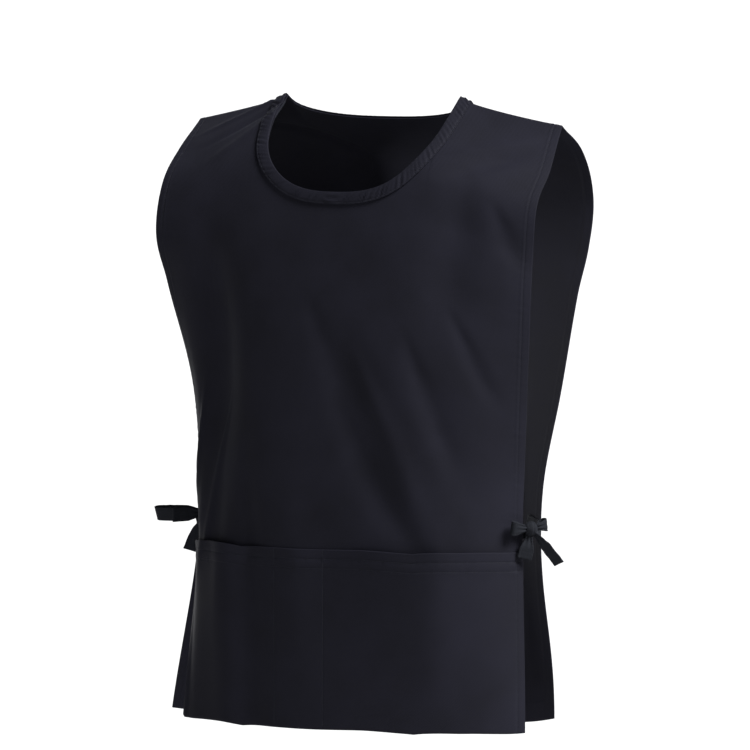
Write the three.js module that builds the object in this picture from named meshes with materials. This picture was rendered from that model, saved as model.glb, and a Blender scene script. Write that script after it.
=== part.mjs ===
import * as THREE from 'three';
import { mergeVertices } from 'three/addons/utils/BufferGeometryUtils.js';

// A cobbler apron as it is worn, in millimetres, +Z up. The front faces -Y and the wearer's left is +X.
// The origin is midway between the neck ends of the two shoulder seams, where the apron sits.
// A point of the cloth is named by where it lies on the flat pattern: across, from the middle of the
// panel towards the wearer's left, and down, from the shoulder line towards the hem.

// The flat pattern.
const PANEL_WIDTH = 490;
const FRONT_LENGTH = 766;
const BACK_LENGTH = 772;
const NECK_HALF = 115;
const FRONT_NECK_DEPTH = 147;
const BACK_NECK_DEPTH = 44;
const SHOULDER_HALF = 241;
const SHOULDER_DROP = 32;
const BINDING_WIDTH = 13.5;
const BINDING_LIP = 1;
const POCKET_HEIGHT = 207;
const PEN_SLOT_WIDTH = 65;
const SIDE_CURVE = 90;
const TIE_WIDTH = 17;

// The cloth and the room it keeps.
const CLOTH = 1.2;
const TIE_THICKNESS = 1.5;
const CLEARANCE = 0.3;

// How the apron stands when worn.
const CHEST_REACH = 110;
const BACK_REACH = 105;
const SEAM_SETBACK = 18;
const WORN_DROP = 31;
const FOLD_DEPTH = 12;
const POCKET_GAPE = 8;
const HEM_SKEW = 8;
const HEM_DIP = 8;
const HEM_DIP_PLACE = -25;
const HEM_DIP_SPREAD = 95;

// The ties and bows.
const TIE_DOWN = 498;
const BACK_TIE_LOWER = 14;
const TIE_HOLD = 28;
const KNOT_SIZE = 17;
const KNOT_SLIM = 0.9;
const KNOT_GATHER = 0.45;
const LOOP_OPENING = 7;
const PAST_EDGE = 5;

const HALF_WIDTH = PANEL_WIDTH / 2;

// The powers of the neck's and the shoulder's curves, and the rows of faces down the pocket.
const SCOOP_POWER = 2.7;
const SEAM_POWER = 0.78;
const POCKET_ROWS = 6;

// The shoulder seam lies a little behind the middle: this is its place as a share of each panel's reach.
const FRONT_SEAM = -SEAM_SETBACK / CHEST_REACH;
const BACK_SEAM = SEAM_SETBACK / BACK_REACH;

// Each row is a line across the cloth. down is a share of the panel's length, the depths are shares of the
// panel's reach, aside is a share of its width, and round is the power that flattens the middle.
const FRONT_ROWS = [
  { down: 0.0, middle: 0.0, left: FRONT_SEAM, right: FRONT_SEAM, aside: 0, round: 4.0 },
  { down: 0.075, middle: 0.42, left: 0.12, right: 0.26, aside: 0, round: 3.2 },
  { down: 0.15, middle: 0.75, left: 0.47, right: 0.62, aside: 0, round: 3.0 },
  { down: 0.225, middle: 0.9, left: 0.50, right: 0.75, aside: 0, round: 2.8 },
  { down: 0.3, middle: 0.98, left: 0.54, right: 0.60, aside: 0, round: 2.6 },
  { down: 0.45, middle: 1.08, left: 0.50, right: 0.35, aside: 0, round: 2.6 },
  { down: 0.6, middle: 1.11, left: 0.42, right: 0.30, aside: 0, round: 2.9 },
  { down: 0.75, middle: 1.11, left: 0.45, right: 0.32, aside: 0, round: 3.0 },
  { down: 0.95, middle: 1.12, left: 0.56, right: 0.47, aside: 0, round: 2.6 },
  { down: 1.0, middle: 1.12, left: 0.56, right: 0.50, aside: 0, round: 2.6 },
];
const BACK_ROWS = [
  { down: 0.0, middle: 0.0, left: BACK_SEAM, right: BACK_SEAM, aside: 0, round: 4.0 },
  { down: 0.075, middle: 0.44, left: 0.62, right: 0.62, aside: 0, round: 3.2 },
  { down: 0.15, middle: 0.82, left: 0.82, right: 0.79, aside: 0, round: 3.0 },
  { down: 0.225, middle: 0.97, left: 0.74, right: 0.66, aside: 0, round: 2.8 },
  { down: 0.3, middle: 1.0, left: 0.56, right: 0.45, aside: 0, round: 2.4 },
  { down: 0.45, middle: 0.90, left: 0.28, right: 0.12, aside: 0, round: 2.1 },
  { down: 0.6, middle: 0.75, left: 0.04, right: -0.08, aside: -0.006, round: 2.0 },
  { down: 0.75, middle: 0.55, left: -0.14, right: -0.12, aside: -0.012, round: 2.1 },
  { down: 0.95, middle: 0.33, left: 0.25, right: -0.32, aside: -0.032, round: 2.2 },
  { down: 1.0, middle: 0.30, left: 0.29, right: -0.35, aside: -0.034, round: 2.2 },
];

// Each row is a fold that starts at one point of the pattern and runs to another. across and wide are shares
// of the panel's width, down is a share of its length, and rise is a share of the fold depth.
const FRONT_FOLDS = [
  { across: -0.35, down: 0.18, toAcross: -0.34, toDown: 0.7, wide: 0.08, rise: -0.9 },
  { across: -0.42, down: 0.32, toAcross: -0.43, toDown: 1.1, wide: 0.045, rise: 0.35 },
  { across: -0.31, down: 0.5, toAcross: -0.28, toDown: 1.1, wide: 0.045, rise: 0.5 },
  { across: -0.22, down: 0.5, toAcross: -0.2, toDown: 1.1, wide: 0.05, rise: -0.5 },
  { across: 0.02, down: 0.36, toAcross: 0.16, toDown: 0.66, wide: 0.08, rise: -0.45 },
  { across: 0.34, down: 0.12, toAcross: 0.30, toDown: 0.34, wide: 0.06, rise: -0.35 },
];
const BACK_FOLDS = [
  { across: -0.28, down: 0.30, toAcross: -0.33, toDown: 1.1, wide: 0.06, rise: 0.8 },
  { across: -0.14, down: 0.36, toAcross: -0.17, toDown: 1.1, wide: 0.06, rise: -0.7 },
  { across: 0.16, down: 0.34, toAcross: 0.18, toDown: 1.1, wide: 0.06, rise: -0.7 },
  { across: 0.30, down: 0.28, toAcross: 0.34, toDown: 1.1, wide: 0.06, rise: 0.8 },
];

const clamp = THREE.MathUtils.clamp;
const lerp = THREE.MathUtils.lerp;
const ease = (t) => THREE.MathUtils.smoothstep(t, 0, 1);

// The flat pattern's shoulder line, and how far it falls when worn.
const shoulderShare = (across) => Math.max(0, (Math.abs(across) - NECK_HALF) / (HALF_WIDTH - NECK_HALF));
const shoulderFall = (across) => SHOULDER_DROP * shoulderShare(across);
const wornFall = (across) => WORN_DROP * shoulderShare(across) ** SEAM_POWER;

// The side edges curve out from the shoulder's end to the full width below it.
const sideShare = (down) => lerp(SHOULDER_HALF / HALF_WIDTH, 1, ease(down / SIDE_CURVE));

// A row of a table at any height, on a smooth curve through the rows above and below.
function rowAt(rows, down) {
  const last = rows.length - 2;
  let i = 0;
  while (i < last && down > rows[i + 1].down) i += 1;
  const [a, b] = [rows[i], rows[i + 1]];
  const before = rows[Math.max(i - 1, 0)];
  const after = rows[Math.min(i + 2, rows.length - 1)];
  const span = b.down - a.down;
  const t = (down - a.down) / span;
  const row = {};
  for (const name of ['middle', 'left', 'right', 'aside', 'round']) {
    const leave = ((b[name] - before[name]) / (b.down - before.down)) * span;
    const arrive = ((after[name] - a[name]) / (after.down - a.down)) * span;
    row[name] = a[name] + (b[name] - a[name]) * t * t * (3 - 2 * t)
      + leave * t * (1 - t) * (1 - t) - arrive * t * t * (1 - t);
  }
  return row;
}

// How far a fold lifts the cloth at a point. It starts to a point and widens on its way down.
function foldLift(fold, across, down) {
  const t = (down - fold.down) / (fold.toDown - fold.down);
  if (t <= 0 || t >= 1.25) return 0;
  const along = ease(t * 2.2) * (1 - ease((t - 0.8) / 0.45));
  const line = lerp(fold.across, fold.toAcross, t);
  const off = (across - line) / (fold.wide * (0.45 + 0.55 * clamp(t * 1.6, 0, 1)));
  return FOLD_DEPTH * fold.rise * along * Math.exp(-off * off);
}

// A panel's worn shape. The cloth keeps its length both ways: the depth of each point is given by the
// tables, and its width and height are summed from what the depth leaves over.
class Drape {
  constructor({ facing, reach, length, rows, folds }) {
    this.facing = facing;
    this.length = length;
    this.step = 5;
    this.columns = Math.ceil(HALF_WIDTH / this.step);
    this.lines = Math.ceil(length / this.step) + 2;
    this.depth = (across, down) => {
      const row = rowAt(rows, down / length);
      const side = across >= 0 ? row.left : row.right;
      const crown = 1 - Math.abs(across / HALF_WIDTH) ** row.round;
      let deep = reach * (side + (row.middle - side) * crown);
      for (const fold of folds) deep += foldLift(fold, across / PANEL_WIDTH, down / length);
      return deep;
    };
    this.grid = [];
    for (let j = 0; j <= this.lines; j += 1) {
      const down = j * this.step;
      const shift = rowAt(rows, down / length).aside * PANEL_WIDTH;
      const line = new Array(2 * this.columns + 1);
      line[this.columns] = new THREE.Vector3(shift, this.depth(0, down), 0);
      for (const side of [-1, 1]) {
        for (let i = 1; i <= this.columns; i += 1) {
          const before = line[this.columns + side * (i - 1)];
          const deep = this.depth(side * i * this.step, down);
          const run = Math.sqrt(Math.max(this.step ** 2 - (deep - before.y) ** 2, 1));
          line[this.columns + side * i] = new THREE.Vector3(before.x + side * run, deep, 0);
        }
      }
      this.grid.push(line);
    }
    for (let i = 0; i <= 2 * this.columns; i += 1) {
      this.grid[0][i].z = -wornFall((i - this.columns) * this.step);
      for (let j = 1; j <= this.lines; j += 1) {
        const above = this.grid[j - 1][i];
        const point = this.grid[j][i];
        const used = (point.x - above.x) ** 2 + (point.y - above.y) ** 2;
        point.z = above.z - Math.sqrt(Math.max(this.step ** 2 - used, 1));
      }
    }
    for (const line of this.grid) for (const point of line) point.y *= facing;
  }

  // The middle of the cloth at a point of the pattern.
  point(across, down) {
    const u = clamp(across / this.step + this.columns, 0, 2 * this.columns - 1e-6);
    const v = clamp(down / this.step, 0, this.lines - 1e-6);
    const [i, j] = [Math.floor(u), Math.floor(v)];
    const top = this.grid[j][i].clone().lerp(this.grid[j][i + 1], u - i);
    return top.lerp(this.grid[j + 1][i].clone().lerp(this.grid[j + 1][i + 1], u - i), v - j);
  }

  // The way out of the cloth, away from the body.
  outward(across, down) {
    const reach = 2 * this.step;
    const side = this.point(across + reach, down).sub(this.point(across - reach, down));
    const fall = this.point(across, Math.max(down - reach, 0)).sub(this.point(across, down + reach));
    return side.cross(fall).multiplyScalar(-this.facing).normalize();
  }
}

const FRONT = new Drape({
  facing: -1, reach: CHEST_REACH, length: FRONT_LENGTH, rows: FRONT_ROWS, folds: FRONT_FOLDS,
});
const BACK = new Drape({
  facing: 1, reach: BACK_REACH, length: BACK_LENGTH, rows: BACK_ROWS, folds: BACK_FOLDS,
});

// The seam's own way out, shared by both panels so that their edges meet face to face.
function seamOutward(across) {
  const ahead = FRONT.point(across + 4, 0).sub(FRONT.point(across - 4, 0));
  return new THREE.Vector3(0, -1, 0).cross(ahead).normalize();
}

// The neck edge below the shoulder line, where the cloth starts at a point across.
function scoopDepth(across, depth) {
  const share = Math.abs(across) / NECK_HALF;
  return share >= 1 ? 0 : depth * (1 - share ** SCOOP_POWER) ** (1 / SCOOP_POWER);
}

// Builds one closed wall from two skins of rows and columns, with faces turned outwards.
function closedWall(outer, inner) {
  const rows = outer.length;
  const columns = outer[0].length;
  const positions = [];
  const index = [];
  const at = (skin, j, i) => skin * rows * columns + j * columns + i;
  for (const skin of [outer, inner]) for (const line of skin) for (const p of line) positions.push(p.x, p.y, p.z);
  const quad = (a, b, c, d) => index.push(a, b, c, a, c, d);
  for (let j = 0; j < rows - 1; j += 1) {
    for (let i = 0; i < columns - 1; i += 1) {
      quad(at(0, j, i), at(0, j + 1, i), at(0, j + 1, i + 1), at(0, j, i + 1));
      quad(at(1, j, i), at(1, j, i + 1), at(1, j + 1, i + 1), at(1, j + 1, i));
    }
    quad(at(0, j, 0), at(1, j, 0), at(1, j + 1, 0), at(0, j + 1, 0));
    quad(at(0, j, columns - 1), at(0, j + 1, columns - 1), at(1, j + 1, columns - 1), at(1, j, columns - 1));
  }
  for (let i = 0; i < columns - 1; i += 1) {
    quad(at(0, 0, i), at(0, 0, i + 1), at(1, 0, i + 1), at(1, 0, i));
    quad(at(0, rows - 1, i), at(1, rows - 1, i), at(1, rows - 1, i + 1), at(0, rows - 1, i + 1));
  }
  return faceOutwards(meshOf(positions, index));
}

function meshOf(positions, index) {
  const geometry = new THREE.BufferGeometry();
  geometry.setAttribute('position', new THREE.Float32BufferAttribute(positions, 3));
  geometry.setIndex(index);
  return mergeVertices(geometry, 1e-4);
}

// Turns every face round when the closed form was wound inside out.
function faceOutwards(geometry) {
  const p = geometry.attributes.position;
  const index = geometry.index.array;
  const [a, b, c] = [new THREE.Vector3(), new THREE.Vector3(), new THREE.Vector3()];
  let volume = 0;
  for (let k = 0; k < index.length; k += 3) {
    a.fromBufferAttribute(p, index[k]);
    b.fromBufferAttribute(p, index[k + 1]);
    c.fromBufferAttribute(p, index[k + 2]);
    volume += a.dot(b.cross(c));
  }
  if (volume < 0) geometry.setIndex(Array.from(index).reverse());
  geometry.computeVertexNormals();
  return geometry;
}

// The hem's place under a column: it follows the shoulder's fall. The front one hangs a little askew, and is
// let down where the folds above it take up cloth.
function hemDown(drape, across) {
  const level = drape.length - shoulderFall(across);
  if (drape === BACK) return level;
  const dip = HEM_DIP * Math.exp(-(((across - HEM_DIP_PLACE) / HEM_DIP_SPREAD) ** 2));
  return level + dip - (HEM_SKEW * across) / HALF_WIDTH;
}

// Columns across a panel: close together where the scoop turns, even along the shoulders, and one at the
// pocket's pen slot.
function panelColumns() {
  const neckSteps = 9;
  const shoulderSteps = 9;
  const half = [];
  for (let k = 1; k <= neckSteps; k += 1) half.push(NECK_HALF * Math.sin((k / neckSteps) * (Math.PI / 2)));
  for (let k = 1; k <= shoulderSteps; k += 1) half.push(lerp(NECK_HALF, HALF_WIDTH, k / shoulderSteps));
  return [...half.map((x) => -x), -PEN_SLOT_WIDTH, 0, ...half].sort((a, b) => a - b);
}

// Builds both skins of a wall from the cloth's middle, lifted off the drape by lift(across, down).
function clothWall(drape, lines, lift = () => 0, thickness = CLOTH) {
  const outer = [];
  const inner = [];
  for (const line of lines) {
    const skins = line.map(({ across, down, atSeam }) => {
      const out = atSeam ? seamOutward(across) : drape.outward(across, down);
      const middle = drape.point(across, down).addScaledVector(out, lift(across, down));
      return [1, -1].map((side) => middle.clone().addScaledVector(out, (side * thickness) / 2));
    });
    outer.push(skins.map((pair) => pair[0]));
    inner.push(skins.map((pair) => pair[1]));
  }
  return closedWall(outer, inner);
}

// One panel: from the neck edge or the shoulder seam down to the hem, with a line along the pocket's top.
function panelGeometry(drape, neckDepth) {
  const upperRows = 16;
  const lines = [];
  for (let j = 0; j < upperRows; j += 1) {
    lines.push(panelColumns().map((column) => {
      const top = Math.max(scoopDepth(column, neckDepth), CLEARANCE);
      const down = lerp(top, hemDown(drape, column) - POCKET_HEIGHT, (j / upperRows) ** 1.3);
      return { across: column * sideShare(down), down, atSeam: j === 0 && Math.abs(column) >= NECK_HALF };
    }));
  }
  return clothWall(drape, [...lines, ...pocketLines(drape)]);
}

// The lines across a panel from the pocket's top down to the hem.
function pocketLines(drape) {
  const lines = [];
  for (let j = 0; j <= POCKET_ROWS; j += 1) {
    const up = POCKET_HEIGHT * (1 - j / POCKET_ROWS);
    lines.push(panelColumns().map((across) => ({ across, down: hemDown(drape, across) - up })));
  }
  return lines;
}

// How far the pocket stands off the panel: closed at its stitch lines and hem, open along its top.
function pocketLift(across, down) {
  const seams = [-HALF_WIDTH, -PEN_SLOT_WIDTH, 0, HALF_WIDTH];
  const k = seams.findIndex((x) => across <= x + 1e-6);
  const [from, to] = [seams[Math.max(k - 1, 0)], seams[Math.max(k, 1)]];
  const bow = Math.sin(Math.PI * clamp((across - from) / (to - from), 0, 1));
  const up = clamp((hemDown(FRONT, across) - down) / POCKET_HEIGHT, 0, 1);
  const room = POCKET_GAPE * Math.min(1, (to - from) / (2 * PEN_SLOT_WIDTH));
  return CLOTH + CLEARANCE + room * bow * up ** 1.3;
}

// The neck band: a closed ring of narrow cloth that lies on both panels along the neck edge.
function bindingGeometry() {
  const steps = 26;
  const frames = [];
  const halves = [
    { drape: FRONT, depth: FRONT_NECK_DEPTH, turn: 1 },
    { drape: BACK, depth: BACK_NECK_DEPTH, turn: -1 },
  ];
  for (const { drape, depth, turn } of halves) {
    for (let k = 0; k < steps; k += 1) {
      const angle = (Math.PI * (1 - Math.cos((k / steps) * Math.PI))) / 2;
      const edge = scoopPoint(angle, depth);
      const [before, after] = [scoopPoint(angle - 0.02, depth), scoopPoint(angle + 0.02, depth)];
      const off = new THREE.Vector2(-(after.y - before.y), after.x - before.x).normalize();
      const skins = [-BINDING_LIP, BINDING_WIDTH / 2, BINDING_WIDTH].map((w) => {
        const [across, down] = [turn * (edge.x + off.x * w), Math.max(edge.y + off.y * w, 0)];
        const out = k === 0 ? seamOutward(across) : drape.outward(across, down);
        const foot = drape.point(across, down);
        const low = CLOTH / 2 + 4 * CLEARANCE;
        return [low, low + CLOTH].map((lift) => foot.clone().addScaledVector(out, lift));
      });
      frames.push([...skins.map((pair) => pair[1]), ...skins.map((pair) => pair[0]).reverse()]);
    }
  }
  return closedRing(frames);
}

// A point of the scoop on the pattern, from the wearer's right shoulder (0) round to the left one (PI).
function scoopPoint(angle, depth) {
  const [c, s] = [Math.cos(angle), Math.sin(angle)];
  const share = 2 / SCOOP_POWER;
  return new THREE.Vector2(
    -NECK_HALF * Math.sign(c) * Math.abs(c) ** share,
    depth * Math.sign(s) * Math.abs(s) ** share,
  );
}

// Joins sections of equal length into a tube that closes on itself.
function closedRing(frames) {
  const size = frames[0].length;
  const positions = frames.flat().flatMap((p) => p.toArray());
  const index = [];
  for (let j = 0; j < frames.length; j += 1) {
    for (let i = 0; i < size; i += 1) {
      const [a, b] = [j * size + i, j * size + ((i + 1) % size)];
      const next = ((j + 1) % frames.length) * size;
      const [c, d] = [next + ((i + 1) % size), next + i];
      index.push(a, b, c, a, c, d);
    }
  }
  return faceOutwards(meshOf(positions, index));
}

// A flat strap through a row of points. Its width lies the way that the second list gives, and the third
// list gives its share of the full width, because a strap gathers where it enters a knot.
function strapGeometry(points, widths, shares) {
  const last = points.length - 1;
  const frames = points.map((middle, k) => {
    const ahead = points[Math.min(k + 1, last)].clone().sub(points[Math.max(k - 1, 0)]).normalize();
    const wide = widths[k].clone().addScaledVector(ahead, -widths[k].dot(ahead)).normalize();
    const thick = new THREE.Vector3().crossVectors(ahead, wide);
    return [[1, 1], [-1, 1], [-1, -1], [1, -1]].map(([u, v]) => middle.clone()
      .addScaledVector(wide, (u * shares[k] * TIE_WIDTH) / 2).addScaledVector(thick, (v * TIE_THICKNESS) / 2));
  });
  const positions = frames.flat().flatMap((p) => p.toArray());
  const index = [];
  for (let j = 0; j < last; j += 1) {
    for (let i = 0; i < 4; i += 1) {
      const [a, b, c, d] = [4 * j + i, 4 * j + ((i + 1) % 4), 4 * j + 4 + ((i + 1) % 4), 4 * j + 4 + i];
      index.push(a, b, c, a, c, d);
    }
  }
  const end = 4 * last;
  index.push(0, 2, 1, 0, 3, 2, end, end + 1, end + 2, end, end + 2, end + 3);
  return faceOutwards(meshOf(positions, index));
}

// A strap's share of its width at a distance from the knot.
const gathered = (distance) => lerp(KNOT_GATHER, 1, ease(distance / KNOT_SIZE));

// From the middle of a knot to just clear of its surface, along a way of unit length.
function knotReach(way) {
  const across = Math.hypot(way.x, way.y) / (KNOT_SLIM * KNOT_SIZE / 2);
  const up = way.z / (KNOT_SIZE / 2);
  return 1 / Math.hypot(across, up) + CLEARANCE;
}

// Everything at one side of the apron is placed from the front panel's side edge, where its tie is sewn on.
function sideFrame(sign) {
  const down = TIE_DOWN - (sign * HEM_SKEW * TIE_DOWN) / FRONT_LENGTH;
  return { sign, down, front: FRONT.point(sign * HALF_WIDTH, down) };
}

// Turns steps out from the body, ahead and up into a vector at one side of the apron.
const toward = (sign, out, ahead, up) => new THREE.Vector3(sign * out, -ahead, up);

// A tie: flat on the inside of the panel where it is sewn on, round past the side edge, and up to the knot.
function tieGeometry(drape, side, knot) {
  const down = side.down + (drape === BACK ? BACK_TIE_LOWER : 0);
  const inside = CLOTH / 2 + 3 * CLEARANCE + TIE_THICKNESS / 2;
  const columns = panelColumns().filter((across) => side.sign * across > HALF_WIDTH - TIE_HOLD - 4);
  if (side.sign < 0) columns.reverse();
  const points = columns.map((across) => drape.point(across, down)
    .addScaledVector(drape.outward(across, down), -inside));
  const widths = columns.map((across) => drape.point(across, down - TIE_WIDTH / 2)
    .sub(drape.point(across, down + TIE_WIDTH / 2)));
  const edge = points[points.length - 1];
  const past = edge.clone().sub(points[points.length - 2]).setLength(PAST_EDGE);
  points.push(edge.clone().add(past));
  const corner = points[points.length - 1];
  const way = corner.clone().sub(knot).normalize();
  points.push(knot.clone().addScaledVector(way, knotReach(way)));
  const up = new THREE.Vector3(0, 0, 1);
  const shares = points.map(() => 1);
  shares[points.length - 1] = KNOT_GATHER;
  return strapGeometry(points, [...widths, up, up], shares);
}

// A bow loop: a strap that leaves the knot, bends round at its end and comes back beside itself.
function loopGeometry(start, ahead, wide, length) {
  const aside = new THREE.Vector3().crossVectors(ahead, wide).normalize();
  const outline = [[0, 0.35], [0.3, 0.8], [0.65, 1], [0.92, 0.7], [1, 0], [0.92, -0.7], [0.65, -1],
    [0.3, -0.8], [0, -0.35]];
  const corners = outline.map(([along, off]) => start.clone()
    .addScaledVector(ahead, along * length)
    .addScaledVector(aside, (off * LOOP_OPENING) / 2 + (Math.sign(off) * TIE_THICKNESS) / 2));
  const points = new THREE.CatmullRomCurve3(corners, false, 'centripetal').getPoints(16);
  const shares = points.map((point) => gathered(point.distanceTo(start)));
  return strapGeometry(points, points.map(() => wide), shares);
}

// A free end: a strap that leaves the knot with a slight bend.
function tailGeometry(start, ahead, wide, length, bend) {
  const points = [0, 0.2, 0.4, 0.6, 0.8, 1].map((along) => start.clone()
    .addScaledVector(ahead, along * length)
    .addScaledVector(bend, Math.sin(Math.PI * along)));
  const shares = points.map((point) => gathered(point.distanceTo(start)));
  return strapGeometry(points, points.map(() => wide), shares);
}

const CLOTH_COLOR = 0x1b1c24;
const BINDING_COLOR = 0x1d1e26;
const TIE_COLOR = 0x20262a;

const apron = new THREE.Group();

function add(name, geometry, color) {
  const material = new THREE.MeshStandardMaterial({ color, roughness: 0.85, metalness: 0 });
  const mesh = new THREE.Mesh(geometry, material);
  mesh.name = name;
  apron.add(mesh);
}

// The knot of a bow: a snug wrap, a little taller than it is deep.
function knotGeometry(knot) {
  const geometry = new THREE.SphereGeometry(KNOT_SIZE / 2, 12, 8);
  geometry.scale(KNOT_SLIM, KNOT_SLIM, 1);
  geometry.translate(knot.x, knot.y, knot.z);
  geometry.deleteAttribute('uv');
  geometry.deleteAttribute('normal');
  return mergeVertices(geometry, 1e-4);
}

// The bows, piece by piece. way and wide are steps out from the body, ahead and up: the way that the piece
// runs from the knot, and the way that its width lies. length is in knot sizes.
const LEFT_BOW = [
  { name: 'loop_front', loop: true, way: [-0.6, 0.86, 0.05], wide: [0.2, 0.1, 1], length: 1.0 },
  { name: 'loop_back', loop: true, way: [0.5, -0.85, 0.2], wide: [0, 0.2, 1], length: 0.75 },
  { name: 'tail_long', way: [0.52, -0.3, -0.75], wide: [0.82, 0.38, 0.41], length: 2.6 },
  { name: 'tail_short', way: [-0.17, 0.14, -1], wide: [0.88, -0.47, 0], length: 1.6 },
];
const RIGHT_BOW = [
  { name: 'loop_out', loop: true, way: [1, 0.28, -0.02], wide: [0.1, 0.3, 0.9], length: 3.2 },
  { name: 'loop_in', loop: true, way: [-1, -0.05, -0.1], wide: [0, 0.1, 1], length: 1.2 },
  { name: 'tail_out', way: [0.75, 0.8, -0.04], wide: [0, 0.1, 1], length: 2.1 },
  { name: 'tail_down', way: [0.6, 0.2, -1], wide: [0.5, 0.7, 0.1], length: 1.7 },
];

function addSide(side, label, knotStep, pieces) {
  const knot = side.front.clone().add(toward(side.sign, ...knotStep));
  add(`tie_front_${label}`, tieGeometry(FRONT, side, knot), TIE_COLOR);
  add(`tie_back_${label}`, tieGeometry(BACK, side, knot), TIE_COLOR);
  add(`bow_${label}_knot`, knotGeometry(knot), TIE_COLOR);
  for (const { name, loop, way, wide, length } of pieces) {
    const [ahead, lie] = [toward(side.sign, ...way).normalize(), toward(side.sign, ...wide)];
    const start = knot.clone().addScaledVector(ahead, knotReach(ahead));
    const geometry = loop ? loopGeometry(start, ahead, lie, length * KNOT_SIZE)
      : tailGeometry(start, ahead, lie, length * KNOT_SIZE, toward(side.sign, 1, 1, 0));
    add(`bow_${label}_${name}`, geometry, TIE_COLOR);
  }
}

add('front_panel', panelGeometry(FRONT, FRONT_NECK_DEPTH), CLOTH_COLOR);
add('back_panel', panelGeometry(BACK, BACK_NECK_DEPTH), CLOTH_COLOR);
add('neck_binding', bindingGeometry(), BINDING_COLOR);
add('pocket', clothWall(FRONT, pocketLines(FRONT), pocketLift), CLOTH_COLOR);
addSide(sideFrame(1), 'left', [13, 4.5, 4], LEFT_BOW);
addSide(sideFrame(-1), 'right', [3, -12, -10], RIGHT_BOW);

export default apron;
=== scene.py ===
"""A navy cobbler apron, worn at the shoulders and tied at both sides.

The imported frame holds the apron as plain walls. This script lays the finished cloth where those walls are:
two panels with turned hems, a bias neck band, a divided lap pocket, and side ties knotted in bows.
Everything is in metres. A point of the cloth is named by its place on the flat pattern: across, from the
middle of the panel towards the wearer's left, and down, from the shoulder line towards the hem.
"""

import enum
import logging
import math
from dataclasses import dataclass, field

import bmesh
import bpy
import numpy as np
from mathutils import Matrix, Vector


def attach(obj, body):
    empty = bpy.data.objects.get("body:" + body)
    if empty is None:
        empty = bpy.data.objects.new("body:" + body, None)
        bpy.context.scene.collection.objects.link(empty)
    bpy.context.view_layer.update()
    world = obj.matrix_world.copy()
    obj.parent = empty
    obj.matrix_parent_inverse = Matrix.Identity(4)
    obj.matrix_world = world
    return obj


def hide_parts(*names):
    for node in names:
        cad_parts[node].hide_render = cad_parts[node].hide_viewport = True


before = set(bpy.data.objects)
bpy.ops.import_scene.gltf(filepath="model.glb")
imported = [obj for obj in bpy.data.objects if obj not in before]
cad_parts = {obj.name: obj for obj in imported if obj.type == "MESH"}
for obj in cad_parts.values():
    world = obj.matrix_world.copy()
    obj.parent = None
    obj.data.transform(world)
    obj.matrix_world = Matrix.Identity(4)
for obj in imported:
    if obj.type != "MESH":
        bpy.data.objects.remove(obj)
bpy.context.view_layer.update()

log = logging.getLogger("apron")

MM = 0.001
BODY = "root"
# The scale at which a Wave texture's bands along one axis repeat once in a metre.
WAVES_PER_METRE = math.pi / 10


@dataclass(frozen=True)
class Cut:
    """The flat pattern of the apron and the room that its cloth keeps."""

    width: float = 0.490
    front_length: float = 0.766
    back_length: float = 0.772
    neck_half: float = 0.115
    front_neck_depth: float = 0.147
    back_neck_depth: float = 0.044
    shoulder_half: float = 0.241
    shoulder_drop: float = 0.032
    side_curve: float = 0.090
    band_width: float = 0.0135
    band_lip: float = 0.001
    pocket_height: float = 0.2100
    pen_slot_width: float = 0.065
    tie_width: float = 0.017
    cloth: float = 0.0012
    tie_thickness: float = 0.0015
    clearance: float = 0.0003
    side_hem: float = 0.0125
    foot_hem: float = 0.024
    pocket_hem: float = 0.024

    @property
    def half_width(self) -> float:
        """Half of a panel's width."""
        return self.width / 2


@dataclass(frozen=True)
class Worn:
    """How the apron stands when worn.

    hem_trims holds shares of the panel's width, from the wearer's right to the left, and how many
    millimetres lower the front hem is cut there.
    """

    chest_reach: float = 0.110
    back_reach: float = 0.105
    seam_setback: float = 0.018
    drop: float = 0.031
    fold_depth: float = 0.012
    pocket_gape: float = 0.008
    hem_skew: float = 0.008
    hem_dip: float = 0.008
    hem_dip_place: float = -0.025
    hem_dip_spread: float = 0.095
    hem_trims: tuple[tuple[float, float], ...] = (
        (-0.50, 11.0), (-0.465, 3.0), (-0.43, -1.5), (-0.38, -4.5), (-0.30, -6.5), (-0.20, -4.0),
        (-0.10, -3.7), (0.0, -2.0), (0.09, 0.8), (0.19, 4.5), (0.26, 2.0), (0.33, -1.4), (0.42, -2.0),
        (0.50, 0.0),
    )
    scoop_power: float = 2.7
    seam_power: float = 0.78


@dataclass(frozen=True)
class Bow:
    """The sizes of a side tie and its bow."""

    tie_down: float = 0.498
    back_tie_lower: float = 0.014
    past_edge: float = 0.005
    knot: float = 0.017
    slim: float = 0.9
    gather: float = 0.45
    opening: float = 0.007


CUT = Cut()
WORN = Worn()
BOW = Bow()


class Side(enum.Enum):
    """The two panels, by the way that they face along Y."""

    FRONT = -1
    BACK = 1


class Hand(enum.Enum):
    """The wearer's two sides, by their sign along X."""

    LEFT = 1
    RIGHT = -1


@dataclass(frozen=True)
class Row:
    """A line across a panel.

    down is a share of the panel's length, the depths are shares of its reach, aside is a share of its
    width, and power flattens the middle of the line.
    """

    down: float
    middle: float
    left: float
    right: float
    aside: float
    power: float


@dataclass(frozen=True)
class Fold:
    """A fold that starts at one point of the pattern and runs to another.

    across and wide are shares of the panel's width, down is a share of its length, and rise is a share of
    the fold depth.
    """

    across: float
    down: float
    to_across: float
    to_down: float
    wide: float
    rise: float


FRONT_SEAM = -WORN.seam_setback / WORN.chest_reach
BACK_SEAM = WORN.seam_setback / WORN.back_reach

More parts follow.
